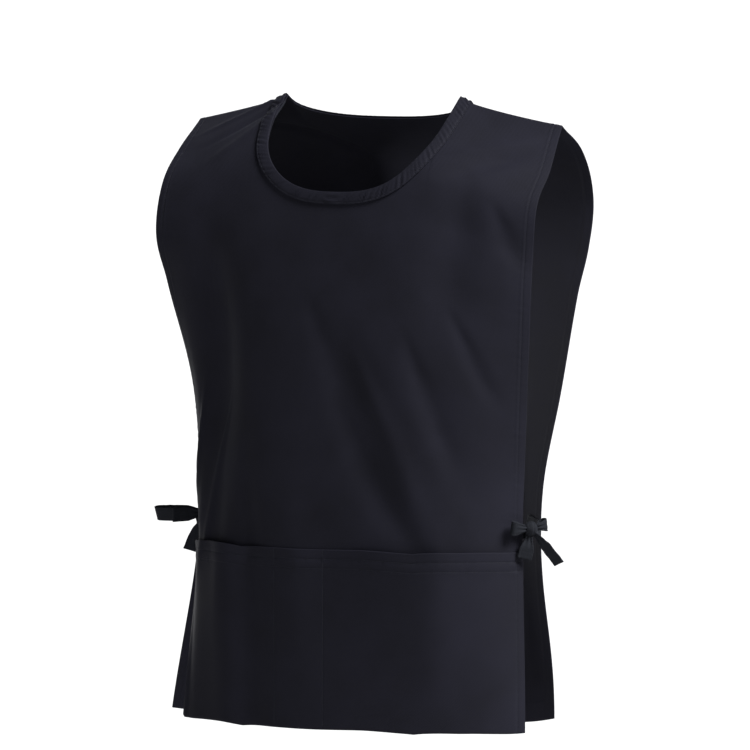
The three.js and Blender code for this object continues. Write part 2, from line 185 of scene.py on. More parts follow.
FRONT_ROWS = (
    Row(0.0, 0.0, FRONT_SEAM, FRONT_SEAM, 0.0, 4.0),
    Row(0.075, 0.42, 0.12, 0.26, 0.0, 3.2),
    Row(0.15, 0.75, 0.47, 0.62, 0.0, 3.0),
    Row(0.225, 0.9, 0.50, 0.75, 0.0, 2.8),
    Row(0.3, 0.98, 0.54, 0.60, 0.0, 2.6),
    Row(0.45, 1.08, 0.50, 0.35, 0.0, 2.6),
    Row(0.6, 1.11, 0.42, 0.30, 0.0, 2.9),
    Row(0.75, 1.11, 0.45, 0.32, 0.0, 3.0),
    Row(0.95, 1.12, 0.56, 0.47, 0.0, 2.6),
    Row(1.0, 1.12, 0.56, 0.50, 0.0, 2.6),
)
BACK_ROWS = (
    Row(0.0, 0.0, BACK_SEAM, BACK_SEAM, 0.0, 4.0),
    Row(0.075, 0.44, 0.62, 0.62, 0.0, 3.2),
    Row(0.15, 0.82, 0.82, 0.79, 0.0, 3.0),
    Row(0.225, 0.97, 0.74, 0.66, 0.0, 2.8),
    Row(0.3, 1.0, 0.56, 0.45, 0.0, 2.4),
    Row(0.45, 0.90, 0.28, 0.12, 0.0, 2.1),
    Row(0.6, 0.75, 0.04, -0.08, -0.006, 2.0),
    Row(0.75, 0.55, 0.02, -0.12, -0.016, 2.1),
    Row(0.95, 0.33, 0.42, -0.42, -0.050, 2.2),
    Row(1.0, 0.30, 0.46, -0.48, -0.054, 2.2),
)
FRONT_FOLDS = (
    Fold(-0.35, 0.18, -0.34, 0.7, 0.08, -0.9),
    Fold(-0.42, 0.32, -0.43, 1.1, 0.045, 0.35),
    Fold(-0.31, 0.5, -0.28, 1.1, 0.045, 0.5),
    Fold(-0.22, 0.5, -0.2, 1.1, 0.05, -0.5),
    Fold(0.02, 0.36, 0.16, 0.66, 0.08, -0.45),
    Fold(0.34, 0.12, 0.30, 0.34, 0.06, -0.35),
)
BACK_FOLDS = (
    Fold(-0.28, 0.30, -0.33, 1.1, 0.06, 0.8),
    Fold(-0.14, 0.36, -0.17, 1.1, 0.06, -0.7),
    Fold(0.16, 0.34, 0.18, 1.1, 0.06, -0.7),
    Fold(0.30, 0.28, 0.34, 1.1, 0.06, 0.8),
)

# The lighter creases that only the finished cloth shows. The front's last two lay two of its folds flatter.
FRONT_CREASES = (
    Fold(-0.17, -0.03, -0.42, 0.04, 0.014, 0.16),
    Fold(-0.16, -0.01, -0.38, 0.07, 0.020, -0.20),
    Fold(-0.17, 0.01, -0.36, 0.11, 0.022, 0.14),
    Fold(-0.33, 0.20, -0.35, 0.54, 0.070, -0.62),
    Fold(-0.07, 0.33, 0.05, 0.50, 0.035, -0.15),
    Fold(0.0, 0.47, 0.20, 0.70, 0.045, -0.26),
    Fold(0.05, 0.40, 0.23, 0.64, 0.035, 0.24),
    Fold(-0.47, 0.55, -0.45, 1.15, 0.008, 0.30),
    Fold(0.19, 0.38, 0.31, 0.56, 0.035, -0.22),
    Fold(0.30, 0.33, 0.41, 0.45, 0.028, -0.18),
    Fold(0.39, 0.15, 0.46, 0.24, 0.030, -0.18),
    Fold(0.48, 0.02, 0.29, 0.10, 0.024, 0.22),
    Fold(0.46, 0.05, 0.29, 0.14, 0.028, -0.24),
    Fold(-0.40, 0.42, -0.46, 0.66, 0.010, 0.25),
    Fold(-0.30, 0.46, -0.40, 0.72, 0.012, 0.22),
    Fold(0.05, 0.52, 0.26, 0.70, 0.05, 0.16),
    Fold(0.26, 0.40, 0.36, 0.62, 0.05, -0.14),
    Fold(0.30, 0.62, 0.28, 0.95, 0.05, 0.15),
    Fold(-0.10, 0.60, -0.06, 0.95, 0.06, 0.14),
    Fold(-0.31, 0.5, -0.28, 1.1, 0.045, -0.36),
    Fold(-0.42, 0.32, -0.43, 1.1, 0.045, -0.20),
)
BACK_CREASES = (
    Fold(-0.40, 0.02, -0.10, 0.14, 0.024, 0.22),
    Fold(0.42, 0.02, 0.12, 0.15, 0.024, 0.22),
    Fold(0.05, 0.30, 0.02, 0.80, 0.05, 0.20),
    Fold(-0.38, 0.45, -0.42, 0.90, 0.02, -0.20),
    Fold(0.38, 0.45, 0.44, 0.90, 0.02, -0.20),
)


def ease(value: np.ndarray | float) -> np.ndarray:
    """Smoothstep of a value clamped to 0 to 1."""
    t = np.clip(value, 0.0, 1.0)
    return t * t * (3.0 - 2.0 * t)


def ripple(place: np.ndarray, wavelength: float, phase: float) -> np.ndarray:
    """An uneven wave along a line, from -1 to 1.

    Args:
        place: distances along the line.
        wavelength: the usual distance from crest to crest.
        phase: shifts the wave, so that no two seams match.

    Returns:
        The height of the wave at each place.
    """
    turn = 2 * math.pi / wavelength
    slow = np.sin(place * turn * 0.173 + phase * 2.1)
    wave = np.sin(place * turn + phase + 1.3 * slow)
    return wave * (0.65 + 0.35 * np.sin(place * turn * 0.291 + phase * 3.7))


def tugs(along: np.ndarray, pitch: float, phase: float, away: np.ndarray, reach: float) -> np.ndarray:
    """The puckers that a seam pulls into the cloth beside it.

    Args:
        along: places along the seam.
        pitch: the usual distance between puckers.
        phase: shifts them, so that no two seams match.
        away: distances from the seam.
        reach: how far away they fade.

    Returns:
        A height from -1 to 1 for each place.
    """
    return ripple(along, pitch, phase) * np.exp(-((away / reach) ** 2))


def unit(vectors: np.ndarray) -> np.ndarray:
    """Each vector at length 1."""
    return vectors / np.maximum(np.linalg.norm(vectors, axis=-1, keepdims=True), 1e-12)


def shoulder_share(across: np.ndarray) -> np.ndarray:
    """How far along the shoulder a place is, from 0 at the neck to 1 at the side."""
    return np.maximum(0.0, (np.abs(across) - CUT.neck_half) / (CUT.half_width - CUT.neck_half))


def side_share(down: np.ndarray) -> np.ndarray:
    """The share of its width that a panel has near the shoulder, where its sides curve in."""
    start = CUT.shoulder_half / CUT.half_width
    return start + (1.0 - start) * ease(down / CUT.side_curve)


def scoop_depth(across: np.ndarray, depth: float) -> np.ndarray:
    """How far below the shoulder line the cloth starts at a place across the neck."""
    share = np.minimum(np.abs(across) / CUT.neck_half, 1.0)
    return depth * (1.0 - share**WORN.scoop_power) ** (1.0 / WORN.scoop_power)


def fold_height(folds: tuple[Fold, ...], across: np.ndarray, down: np.ndarray) -> np.ndarray:
    """How far a set of folds lifts the cloth.

    Args:
        folds: the folds, each from one point of the pattern to another.
        across: shares of the panel's width.
        down: shares of the panel's length.

    Returns:
        The lift in metres. Each fold starts to a point and widens on its way.
    """
    rises, fades_from, fades_over = 2.2, 0.8, 0.45
    narrow, widens = 0.45, 1.6
    lift = np.zeros(np.broadcast(across, down).shape)
    for fold in folds:
        run = np.array([fold.to_across - fold.across, fold.to_down - fold.down])
        t = (down - fold.down) / run[1]
        line = fold.across + run[0] * t
        along = ease(t * rises) * (1.0 - ease((t - fades_from) / fades_over))
        wide = fold.wide * (narrow + (1.0 - narrow) * np.clip(t * widens, 0.0, 1.0))
        inside = (t > 0) & (t < fades_from + fades_over)
        bump = np.exp(-(((across - line) / wide) ** 2))
        lift += np.where(inside, WORN.fold_depth * fold.rise * along * bump, 0)
    return lift


class Drape:
    """A panel's worn shape. The cloth keeps its length both ways."""

    STEP = 0.005
    EVEN_STEPS = 10
    EVEN_BELOW = 0.08
    SEAM_TURN = 6 * MM

    def __init__(self, side: Side, reach: float, length: float, rows: tuple[Row, ...],
                 folds: tuple[Fold, ...], creases: tuple[Fold, ...]) -> None:
        """Sums the cloth's width and height from the depth that the tables give.

        Args:
            side: the panel, front or back.
            reach: how far the panel stands out at a depth of 1.
            length: the panel's flat length.
            rows: the lines across it.
            folds: the folds that its solid wall has too.
            creases: the finer folds that only the finished cloth has.
        """
        self.side = side
        self.reach = reach
        self.length = length
        self.rows = rows
        self.folds = folds
        self.creases = creases
        self.columns = math.ceil(CUT.half_width / self.STEP)
        self.lines = math.ceil(length / self.STEP) + 2
        across = np.arange(-self.columns, self.columns + 1) * self.STEP
        down = np.arange(self.lines + 1) * self.STEP
        depth = self._depth(across[None, :], down[:, None])
        least = MM**2
        runs = np.sqrt(np.maximum(self.STEP**2 - np.diff(depth, axis=1) ** 2, least))
        middle = self.columns
        x = np.zeros_like(depth)
        x[:, middle + 1:] = np.cumsum(runs[:, middle:], axis=1)
        x[:, :middle] = -np.cumsum(runs[:, middle - 1::-1], axis=1)[:, ::-1]
        x += (self._row(down / length)["aside"] * CUT.width)[:, None]
        used = np.diff(x, axis=0) ** 2 + np.diff(depth, axis=0) ** 2
        fall = np.cumsum(np.sqrt(np.maximum(self.STEP**2 - used, least)), axis=0)
        z = np.zeros_like(depth)
        z[1:] = -fall
        z -= self._shoulder_drop(down)
        self.grid = np.stack([x, side.value * depth, z], axis=-1)

    def _shoulder_drop(self, down: np.ndarray) -> np.ndarray:
        """How far the cloth hangs below the shoulder line: bent at the neck, and evened out further down."""
        spare = self.EVEN_STEPS
        wide = np.arange(-self.columns - spare, self.columns + spare + 1) * self.STEP
        line = WORN.drop * shoulder_share(wide) ** WORN.seam_power
        kernel = np.hanning(2 * spare + 1)
        even = np.convolve(line, kernel / kernel.sum(), mode="same")[spare:-spare]
        share = ease(down / self.EVEN_BELOW)[:, None]
        return line[spare:-spare] * (1 - share) + even * share

    def _row(self, down: np.ndarray) -> dict[str, np.ndarray]:
        """The rows' values at any height, on a smooth curve through them."""
        names = ("middle", "left", "right", "aside", "power")
        places = np.array([row.down for row in self.rows])
        table = np.array([[getattr(row, name) for name in names] for row in self.rows])
        return dict(zip(names, np.moveaxis(through(places, table, down), -1, 0)))

    def _depth(self, across: np.ndarray, down: np.ndarray) -> np.ndarray:
        """How far out of the body each point of the pattern stands."""
        row = self._row(down / self.length)
        side = np.where(across >= 0, row["left"], row["right"])
        crown = 1.0 - np.abs(across / CUT.half_width) ** row["power"]
        deep = self.reach * (side + (row["middle"] - side) * crown)
        return deep + fold_height(self.folds, across / CUT.width, down / self.length)

    def point(self, across: np.ndarray, down: np.ndarray) -> np.ndarray:
        """The middle of the cloth at places on the pattern, by cubic interpolation."""
        u = np.clip(across / self.STEP + self.columns, 0, 2 * self.columns - 1e-6)
        v = np.clip(down / self.STEP, 0, self.lines - 1e-6)
        u, v = np.broadcast_arrays(u, v)
        i, j = np.floor(u).astype(int), np.floor(v).astype(int)
        weights_u, weights_v = self._weights(u - i), self._weights(v - j)
        total = np.zeros(u.shape + (3,))
        for b in range(4):
            line = np.clip(j + b - 1, 0, self.lines)
            for a in range(4):
                column = np.clip(i + a - 1, 0, 2 * self.columns)
                total += (weights_v[b] * weights_u[a])[..., None] * self.grid[line, column]
        return total

    @staticmethod
    def _weights(t: np.ndarray) -> tuple[np.ndarray, ...]:
        """The four weights of a curve through evenly spaced points."""
        return (
            -0.5 * t + t**2 - 0.5 * t**3,
            1.0 - 2.5 * t**2 + 1.5 * t**3,
            0.5 * t + 2.0 * t**2 - 1.5 * t**3,
            -0.5 * t**2 + 0.5 * t**3,
        )

    def outward(self, across: np.ndarray, down: np.ndarray) -> np.ndarray:
        """The way out of the cloth, away from the body, turned upwards at the shoulder seam."""
        reach = 2 * self.STEP
        aside = self.point(across + reach, down) - self.point(across - reach, down)
        fall = self.point(across, np.maximum(down - reach, 0)) - self.point(across, down + reach)
        out = unit(np.cross(aside, fall) * -self.side.value)
        slope = self.point(across + reach, 0 * down) - self.point(across - reach, 0 * down)
        up = unit(np.cross(np.array([0.0, -1.0, 0.0]), slope))
        near = (1.0 - ease(down / self.SEAM_TURN))[..., None]
        return unit(out + (up - out) * near)

    def surface(self, across: np.ndarray, down: np.ndarray, lift: np.ndarray | float = 0.0) -> np.ndarray:
        """Points that stand off the middle of the cloth, with its finer creases.

        Args:
            across: places from the centre line.
            down: places down from the shoulder line.
            lift: how far each point stands off.

        Returns:
            The points, in the frame's metres.
        """
        crease = fold_height(self.creases, across / CUT.width, down / self.length)
        lifts = np.broadcast_to(lift + crease, np.broadcast(across, down).shape)
        return self.point(across, down) + self.outward(across, down) * lifts[..., None]


def hem_down(drape: Drape, across: np.ndarray) -> np.ndarray:
    """Where the hem lies under a place across.

    The front one hangs a little askew, and is let down where the folds above it take up cloth.
    """
    level = drape.length - CUT.shoulder_drop * shoulder_share(across)
    if drape.side is Side.BACK:
        return level
    dip = WORN.hem_dip * np.exp(-(((across - WORN.hem_dip_place) / WORN.hem_dip_spread) ** 2))
    trims = np.array(WORN.hem_trims)
    trim = through(trims[:, 0], trims[:, 1:] * MM, across / CUT.width)[..., 0]
    return level + dip + trim - WORN.hem_skew * across / CUT.half_width


def through(run: np.ndarray, values: np.ndarray, places: np.ndarray) -> np.ndarray:
    """Values on a smooth curve through unevenly spaced rows.

    Args:
        run: the place of each row, rising.
        values: the rows.
        places: where the values are wanted.

    Returns:
        A row for each place.
    """
    i = np.clip(np.searchsorted(run, places, side="right") - 1, 0, len(run) - 2)
    before, after = np.maximum(i - 1, 0), np.minimum(i + 2, len(run) - 1)
    span = (run[i + 1] - run[i])[..., None]
    t = (places - run[i])[..., None] / span
    leave = (values[i + 1] - values[before]) / (run[i + 1] - run[before])[..., None] * span
    arrive = (values[after] - values[i]) / (run[after] - run[i])[..., None] * span
    start, end = values[i], values[i + 1]
    bend = leave * t * (1 - t) ** 2 - arrive * t * t * (1 - t)
    return start + (end - start) * t * t * (3 - 2 * t) + bend


def soft_edge(distance: np.ndarray, radius: float) -> np.ndarray:
    """The share of its thickness that cloth has near a folded edge, which is round but never quite sharp."""
    least = 0.12
    near = 1.0 - np.clip(distance / radius, 0.0, 1.0)
    return np.maximum(np.sqrt(1.0 - near**2), least)


def groove(distance: np.ndarray, depth: float, wide: float) -> np.ndarray:
    """The dent that a row of stitches pulls into the cloth.

    Args:
        distance: distances from the row.
        depth: the dent's depth at the row.
        wide: how far away it has mostly gone.

    Returns:
        The heights, all below zero.
    """
    return -depth * np.exp(-((distance / wide) ** 2))


def graded(start: float, end: float, step: float, fine: np.ndarray) -> np.ndarray:
    """Places from start to end, even at first and close together near the end.

    Args:
        start: the first place.
        end: the last place.
        step: the even distance between places.
        fine: the distances from the end of the places near it, the farthest first.

    Returns:
        The places, in order.
    """
    stop = end - fine[0]
    count = max(2, round((stop - start) / step))
    even = np.linspace(start, stop, count, endpoint=False)
    return np.concatenate([even, end - fine])


class Maker:
    """Builds mesh objects from rows of points."""

    UV = "cloth"

    @classmethod
    def mesh(cls, name: str, points: np.ndarray, faces: list, uv: np.ndarray, material: bpy.types.Material
             ) -> bpy.types.Object:
        """Makes one smooth object whose faces point outwards.

        Args:
            name: the piece's name.
            points: its vertices.
            faces: lists of vertex numbers.
            uv: each vertex's place on the flat cloth, in metres.
            material: its finish.

        Returns:
            The object, at the origin.
        """
        data = bpy.data.meshes.new(name)
        data.from_pydata(points.tolist(), [], faces)
        shape = bmesh.new()
        shape.from_mesh(data)
        bmesh.ops.recalc_face_normals(shape, faces=shape.faces)
        shape.to_mesh(data)
        shape.free()
        layer = data.uv_layers.new(name=cls.UV)
        owner = np.zeros(len(data.loops), dtype=np.int32)
        data.loops.foreach_get("vertex_index", owner)
        layer.data.foreach_set("uv", uv[owner].astype(np.float32).ravel())
        data.polygons.foreach_set("use_smooth", np.ones(len(data.polygons), dtype=bool))
        data.materials.append(material)
        made = bpy.data.objects.new(name, data)
        bpy.context.scene.collection.objects.link(made)
        return made

    @staticmethod
    def _quads(first: np.ndarray, second: np.ndarray) -> np.ndarray:
        """Quads between two lines of vertex numbers."""
        return np.stack([first[:-1], second[:-1], second[1:], first[1:]], axis=-1).reshape(-1, 4)

    @classmethod
    def wall(cls, name: str, outer: np.ndarray, inner: np.ndarray, uv: np.ndarray,
             material: bpy.types.Material) -> bpy.types.Object:
        """Joins two skins of rows and columns into one closed wall.

        Args:
            name: the piece's name.
            outer: the outer skin's points, by row and column.
            inner: the inner skin's points, in the same order.
            uv: the pattern place of each point, in metres.
            material: its finish.

        Returns:
            The piece.
        """
        rows, columns = outer.shape[:2]
        number = np.arange(2 * rows * columns).reshape(2, rows, columns)
        out, back = number
        faces = []
        for skin in number:
            quads = np.stack([skin[:-1, :-1], skin[1:, :-1], skin[1:, 1:], skin[:-1, 1:]], axis=-1)
            faces.append(quads.reshape(-1, 4))
        for line, other in ((out[0], back[0]), (out[-1], back[-1]), (out[:, 0], back[:, 0]),
                            (out[:, -1], back[:, -1])):
            faces.append(cls._quads(line, other))
        points = np.concatenate([outer.reshape(-1, 3), inner.reshape(-1, 3)])
        flat = np.concatenate([uv.reshape(-1, 2), uv.reshape(-1, 2)])
        return cls.mesh(name, points, np.concatenate(faces).tolist(), flat, material)

    @classmethod
    def tube(cls, name: str, frames: np.ndarray, uv: np.ndarray, closed: bool,
             material: bpy.types.Material) -> bpy.types.Object:
        """Joins sections of equal length into a tube with closed ends, or into a ring.

        Args:
            name: the piece's name.
            frames: the points of each section.
            uv: the pattern place of each point, in metres.
            closed: whether the last section joins the first.
            material: its finish.

        Returns:
            The piece.
        """
        count, size = frames.shape[:2]
        number = np.arange(count * size).reshape(count, size)
        rings = np.concatenate([number, number[:1]]) if closed else number
        ring = np.concatenate([rings, rings[:, :1]], axis=1)
        quads = np.stack([ring[:-1, :-1], ring[1:, :-1], ring[1:, 1:], ring[:-1, 1:]], axis=-1)
        faces = quads.reshape(-1, 4).tolist()
        if not closed:
            faces += [number[0].tolist(), number[-1][::-1].tolist()]
        return cls.mesh(name, frames.reshape(-1, 3), faces, uv.reshape(-1, 2), material)


def linear(colour: str) -> tuple[float, float, float, float]:
    """Turns an sRGB hex colour into linear values.

    Args:
        colour: six hex digits after a hash sign.

    Returns:
        Red, green, blue and an alpha of 1.
    """
    values = [int(colour[i:i + 2], 16) / 255 for i in (1, 3, 5)]
    turned = [v / 12.92 if v <= 0.04045 else ((v + 0.055) / 1.055) ** 2.4 for v in values]
    return (*turned, 1.0)


def add_node(tree: bpy.types.NodeTree, kind: str, settings: dict | None = None,
             inputs: dict | None = None) -> bpy.types.Node:
    """Adds a node to a tree.

    Args:
        tree: the tree.
        kind: the node's type.
        settings: attributes of the node.
        inputs: values for its sockets, or sockets of other nodes to link to them, by name or number.

    Returns:
        The node.
    """
    node = tree.nodes.new(kind)
    for name, value in (settings or {}).items():
        setattr(node, name, value)
    for name, value in (inputs or {}).items():
        if isinstance(value, bpy.types.NodeSocket):
            tree.links.new(value, node.inputs[name])
        else:
            node.inputs[name].default_value = value
    return node


def empty_material(name: str) -> tuple[bpy.types.Material, bpy.types.NodeTree]:
    """A new material and its node tree, with nothing in it yet."""
    made = bpy.data.materials.new(name)
    made.use_nodes = True
    made.node_tree.nodes.clear()
    return made, made.node_tree


@dataclass(frozen=True)
class TwillFinish:
    """Polyester-cotton twill, piece-dyed navy and pressed.

    The diagonal ribs give the cloth a fine grain that runs down to the right, and the short fibres on it
    give a soft pale sheen where it turns away from the eye.
    """

    name: str
    dark: str
    light: str
    rib: float
    steep: float = math.radians(-27)
    fibres_per_metre: float = 900.0
    patches_per_metre: float = 14.0
    rib_share: float = 0.45
    patch_share: float = 0.5
    tone_range: tuple[float, float] = (0.70, 1.20)
    roughness: float = 0.78
    sheen: float = 0.02
    relief: float = 0.18 * MM

    def material(self) -> bpy.types.Material:
        """Builds the cloth's nodes on the pattern's own UV map."""
        made, tree = empty_material(self.name)
        place = add_node(tree, "ShaderNodeUVMap", {"uv_map": Maker.UV})
        turned = add_node(tree, "ShaderNodeMapping", {}, {
            "Vector": place.outputs["UV"], "Rotation": (0, 0, self.steep)})
        # Real ribs are about 0.5 mm apart. They are drawn about three times as wide, so that they show.
        ribs = add_node(tree, "ShaderNodeTexWave", {"wave_type": "BANDS", "bands_direction": "X"}, {
            "Vector": turned.outputs["Vector"], "Scale": WAVES_PER_METRE / self.rib, "Distortion": 1.2,
            "Detail": 2.0, "Detail Scale": 1.5})
        fibres = add_node(tree, "ShaderNodeTexNoise", {}, {
            "Vector": place.outputs["UV"], "Scale": self.fibres_per_metre, "Detail": 3.0, "Roughness": 0.65})
        patches = add_node(tree, "ShaderNodeTexNoise", {}, {
            "Vector": place.outputs["UV"], "Scale": self.patches_per_metre, "Detail": 4.0, "Roughness": 0.55})
        grain = add_node(tree, "ShaderNodeMath", {"operation": "MULTIPLY_ADD"}, {
            0: ribs.outputs["Fac"], 1: self.rib_share, 2: fibres.outputs["Fac"]})
        blend = add_node(tree, "ShaderNodeMath", {"operation": "MULTIPLY_ADD"}, {
            0: patches.outputs["Fac"], 1: self.patch_share, 2: grain.outputs[0]})
        share = add_node(tree, "ShaderNodeMapRange", {}, {
            "Value": blend.outputs[0], "From Min": self.tone_range[0], "From Max": self.tone_range[1]})
        colour = add_node(tree, "ShaderNodeMix", {"data_type": "RGBA"}, {
            0: share.outputs["Result"], 6: linear(self.dark), 7: linear(self.light)})
        rough = add_node(tree, "ShaderNodeMapRange", {}, {
            "Value": patches.outputs["Fac"],
            "To Min": self.roughness - 0.06, "To Max": self.roughness + 0.08})
        weave = add_node(tree, "ShaderNodeBump", {}, {
            "Height": grain.outputs[0], "Strength": 0.6, "Distance": self.relief})
        shader = add_node(tree, "ShaderNodeBsdfPrincipled", {}, {
            "Base Color": colour.outputs[2], "Roughness": rough.outputs["Result"],
            "Normal": weave.outputs["Normal"], "Specular IOR Level": 0.08, "Sheen Weight": self.sheen,
            "Sheen Roughness": 0.45, "Sheen Tint": linear("#9aa0b4")})
        add_node(tree, "ShaderNodeOutputMaterial", {}, {"Surface": shader.outputs["BSDF"]})
        return made


@dataclass(frozen=True)
class ThreadFinish:
    """Spun polyester sewing thread, dyed to match: smoother than the cloth, so it catches a little light."""

    name: str
    dark: str
    light: str
    ply: float = 0.9 * MM

    def material(self) -> bpy.types.Material:
        """Builds the thread's nodes, with its twisted plies as a fine wave."""
        made, tree = empty_material(self.name)
        place = add_node(tree, "ShaderNodeTexCoord")
        plies = add_node(tree, "ShaderNodeTexWave", {"wave_type": "BANDS", "bands_direction": "DIAGONAL"}, {
            "Vector": place.outputs["Object"], "Scale": WAVES_PER_METRE / self.ply})
        tone = add_node(tree, "ShaderNodeMix", {"data_type": "RGBA"}, {
            0: plies.outputs["Fac"], 6: linear(self.dark), 7: linear(self.light)})
        shader = add_node(tree, "ShaderNodeBsdfPrincipled", {}, {
            "Base Color": tone.outputs[2], "Roughness": 0.6, "Specular IOR Level": 0.2})
        add_node(tree, "ShaderNodeOutputMaterial", {}, {"Surface": shader.outputs["BSDF"]})
        return made


@dataclass
class Stitcher:
    """Sews rows of stitches along seam lines, with one Geometry Nodes tree."""

    thread: bpy.types.Material
    pitch: float = 3.0 * MM
    length: float = 2.3 * MM
    radius: float = 0.24 * MM
    tree: bpy.types.NodeTree = field(init=False)

    def __post_init__(self) -> None:
        """Builds the tree: points along each line, a stitch on each, realized and given the thread."""
        tree = bpy.data.node_groups.new("stitches_on_a_line", "GeometryNodeTree")
        face = tree.interface
        face.new_socket("Geometry", in_out="INPUT", socket_type="NodeSocketGeometry")
        for name in ("Pitch", "Stitch Length", "Thread Radius"):
            face.new_socket(name, in_out="INPUT", socket_type="NodeSocketFloat")
        face.new_socket("Geometry", in_out="OUTPUT", socket_type="NodeSocketGeometry")
        given = add_node(tree, "NodeGroupInput")
        line = add_node(tree, "GeometryNodeMeshToCurve", {}, {"Mesh": given.outputs["Geometry"]})
        places = add_node(tree, "GeometryNodeCurveToPoints", {"mode": "LENGTH"}, {
            "Curve": line.outputs["Curve"], "Length": given.outputs["Pitch"]})
        turn = add_node(tree, "FunctionNodeAlignRotationToVector", {"axis": "X"}, {
            "Vector": places.outputs["Tangent"]})
        half = add_node(tree, "ShaderNodeMath", {"operation": "MULTIPLY"}, {
            0: given.outputs["Stitch Length"], 1: 0.5})
        size = add_node(tree, "ShaderNodeCombineXYZ", {}, {
            "X": half.outputs[0], "Y": given.outputs["Thread Radius"], "Z": given.outputs["Thread Radius"]})
        stitch = add_node(tree, "GeometryNodeMeshUVSphere", {}, {"Segments": 6, "Rings": 5, "Radius": 1.0})
        sewn = add_node(tree, "GeometryNodeInstanceOnPoints", {}, {
            "Points": places.outputs["Points"], "Instance": stitch.outputs["Mesh"],
            "Rotation": turn.outputs["Rotation"], "Scale": size.outputs["Vector"]})
        real = add_node(tree, "GeometryNodeRealizeInstances", {}, {"Geometry": sewn.outputs["Instances"]})
        dyed = add_node(tree, "GeometryNodeSetMaterial", {}, {
            "Geometry": real.outputs["Geometry"], "Material": self.thread})
        add_node(tree, "NodeGroupOutput", {}, {"Geometry": dyed.outputs["Geometry"]})
        self.tree = tree

    def sew(self, name: str, lines: list[np.ndarray]) -> bpy.types.Object:
        """Sews a row of stitches along each line.

        Args:
            name: the name of the new piece.
            lines: lists of points, each one seam.

        Returns:
            One mesh object of all the stitches.
        """
        points, edges = [], []
        for line in lines:
            first = len(points)
            points += line.tolist()
            edges += [(first + k, first + k + 1) for k in range(len(line) - 1)]
        data = bpy.data.meshes.new(f"{name}_lines")
        data.from_pydata(points, edges, [])
        made = bpy.data.objects.new(name, data)
        bpy.context.scene.collection.objects.link(made)
        modifier = made.modifiers.new("stitches", "NODES")
        modifier.node_group = self.tree
        sizes = {"Pitch": self.pitch, "Stitch Length": self.length, "Thread Radius": self.radius}
        for socket in self.tree.interface.items_tree:
            if socket.in_out == "INPUT" and socket.name in sizes:
                modifier[socket.identifier] = sizes[socket.name]
        graph = bpy.context.evaluated_depsgraph_get()
        sewn = bpy.data.meshes.new_from_object(made.evaluated_get(graph))
        made.modifiers.remove(modifier)
        made.data = sewn
        sewn.polygons.foreach_set("use_smooth", np.ones(len(sewn.polygons), dtype=bool))
        return made


@dataclass
class Cloths:
    """The apron's finishes."""

    panel: bpy.types.Material
    band: bpy.types.Material
    tape: bpy.types.Material


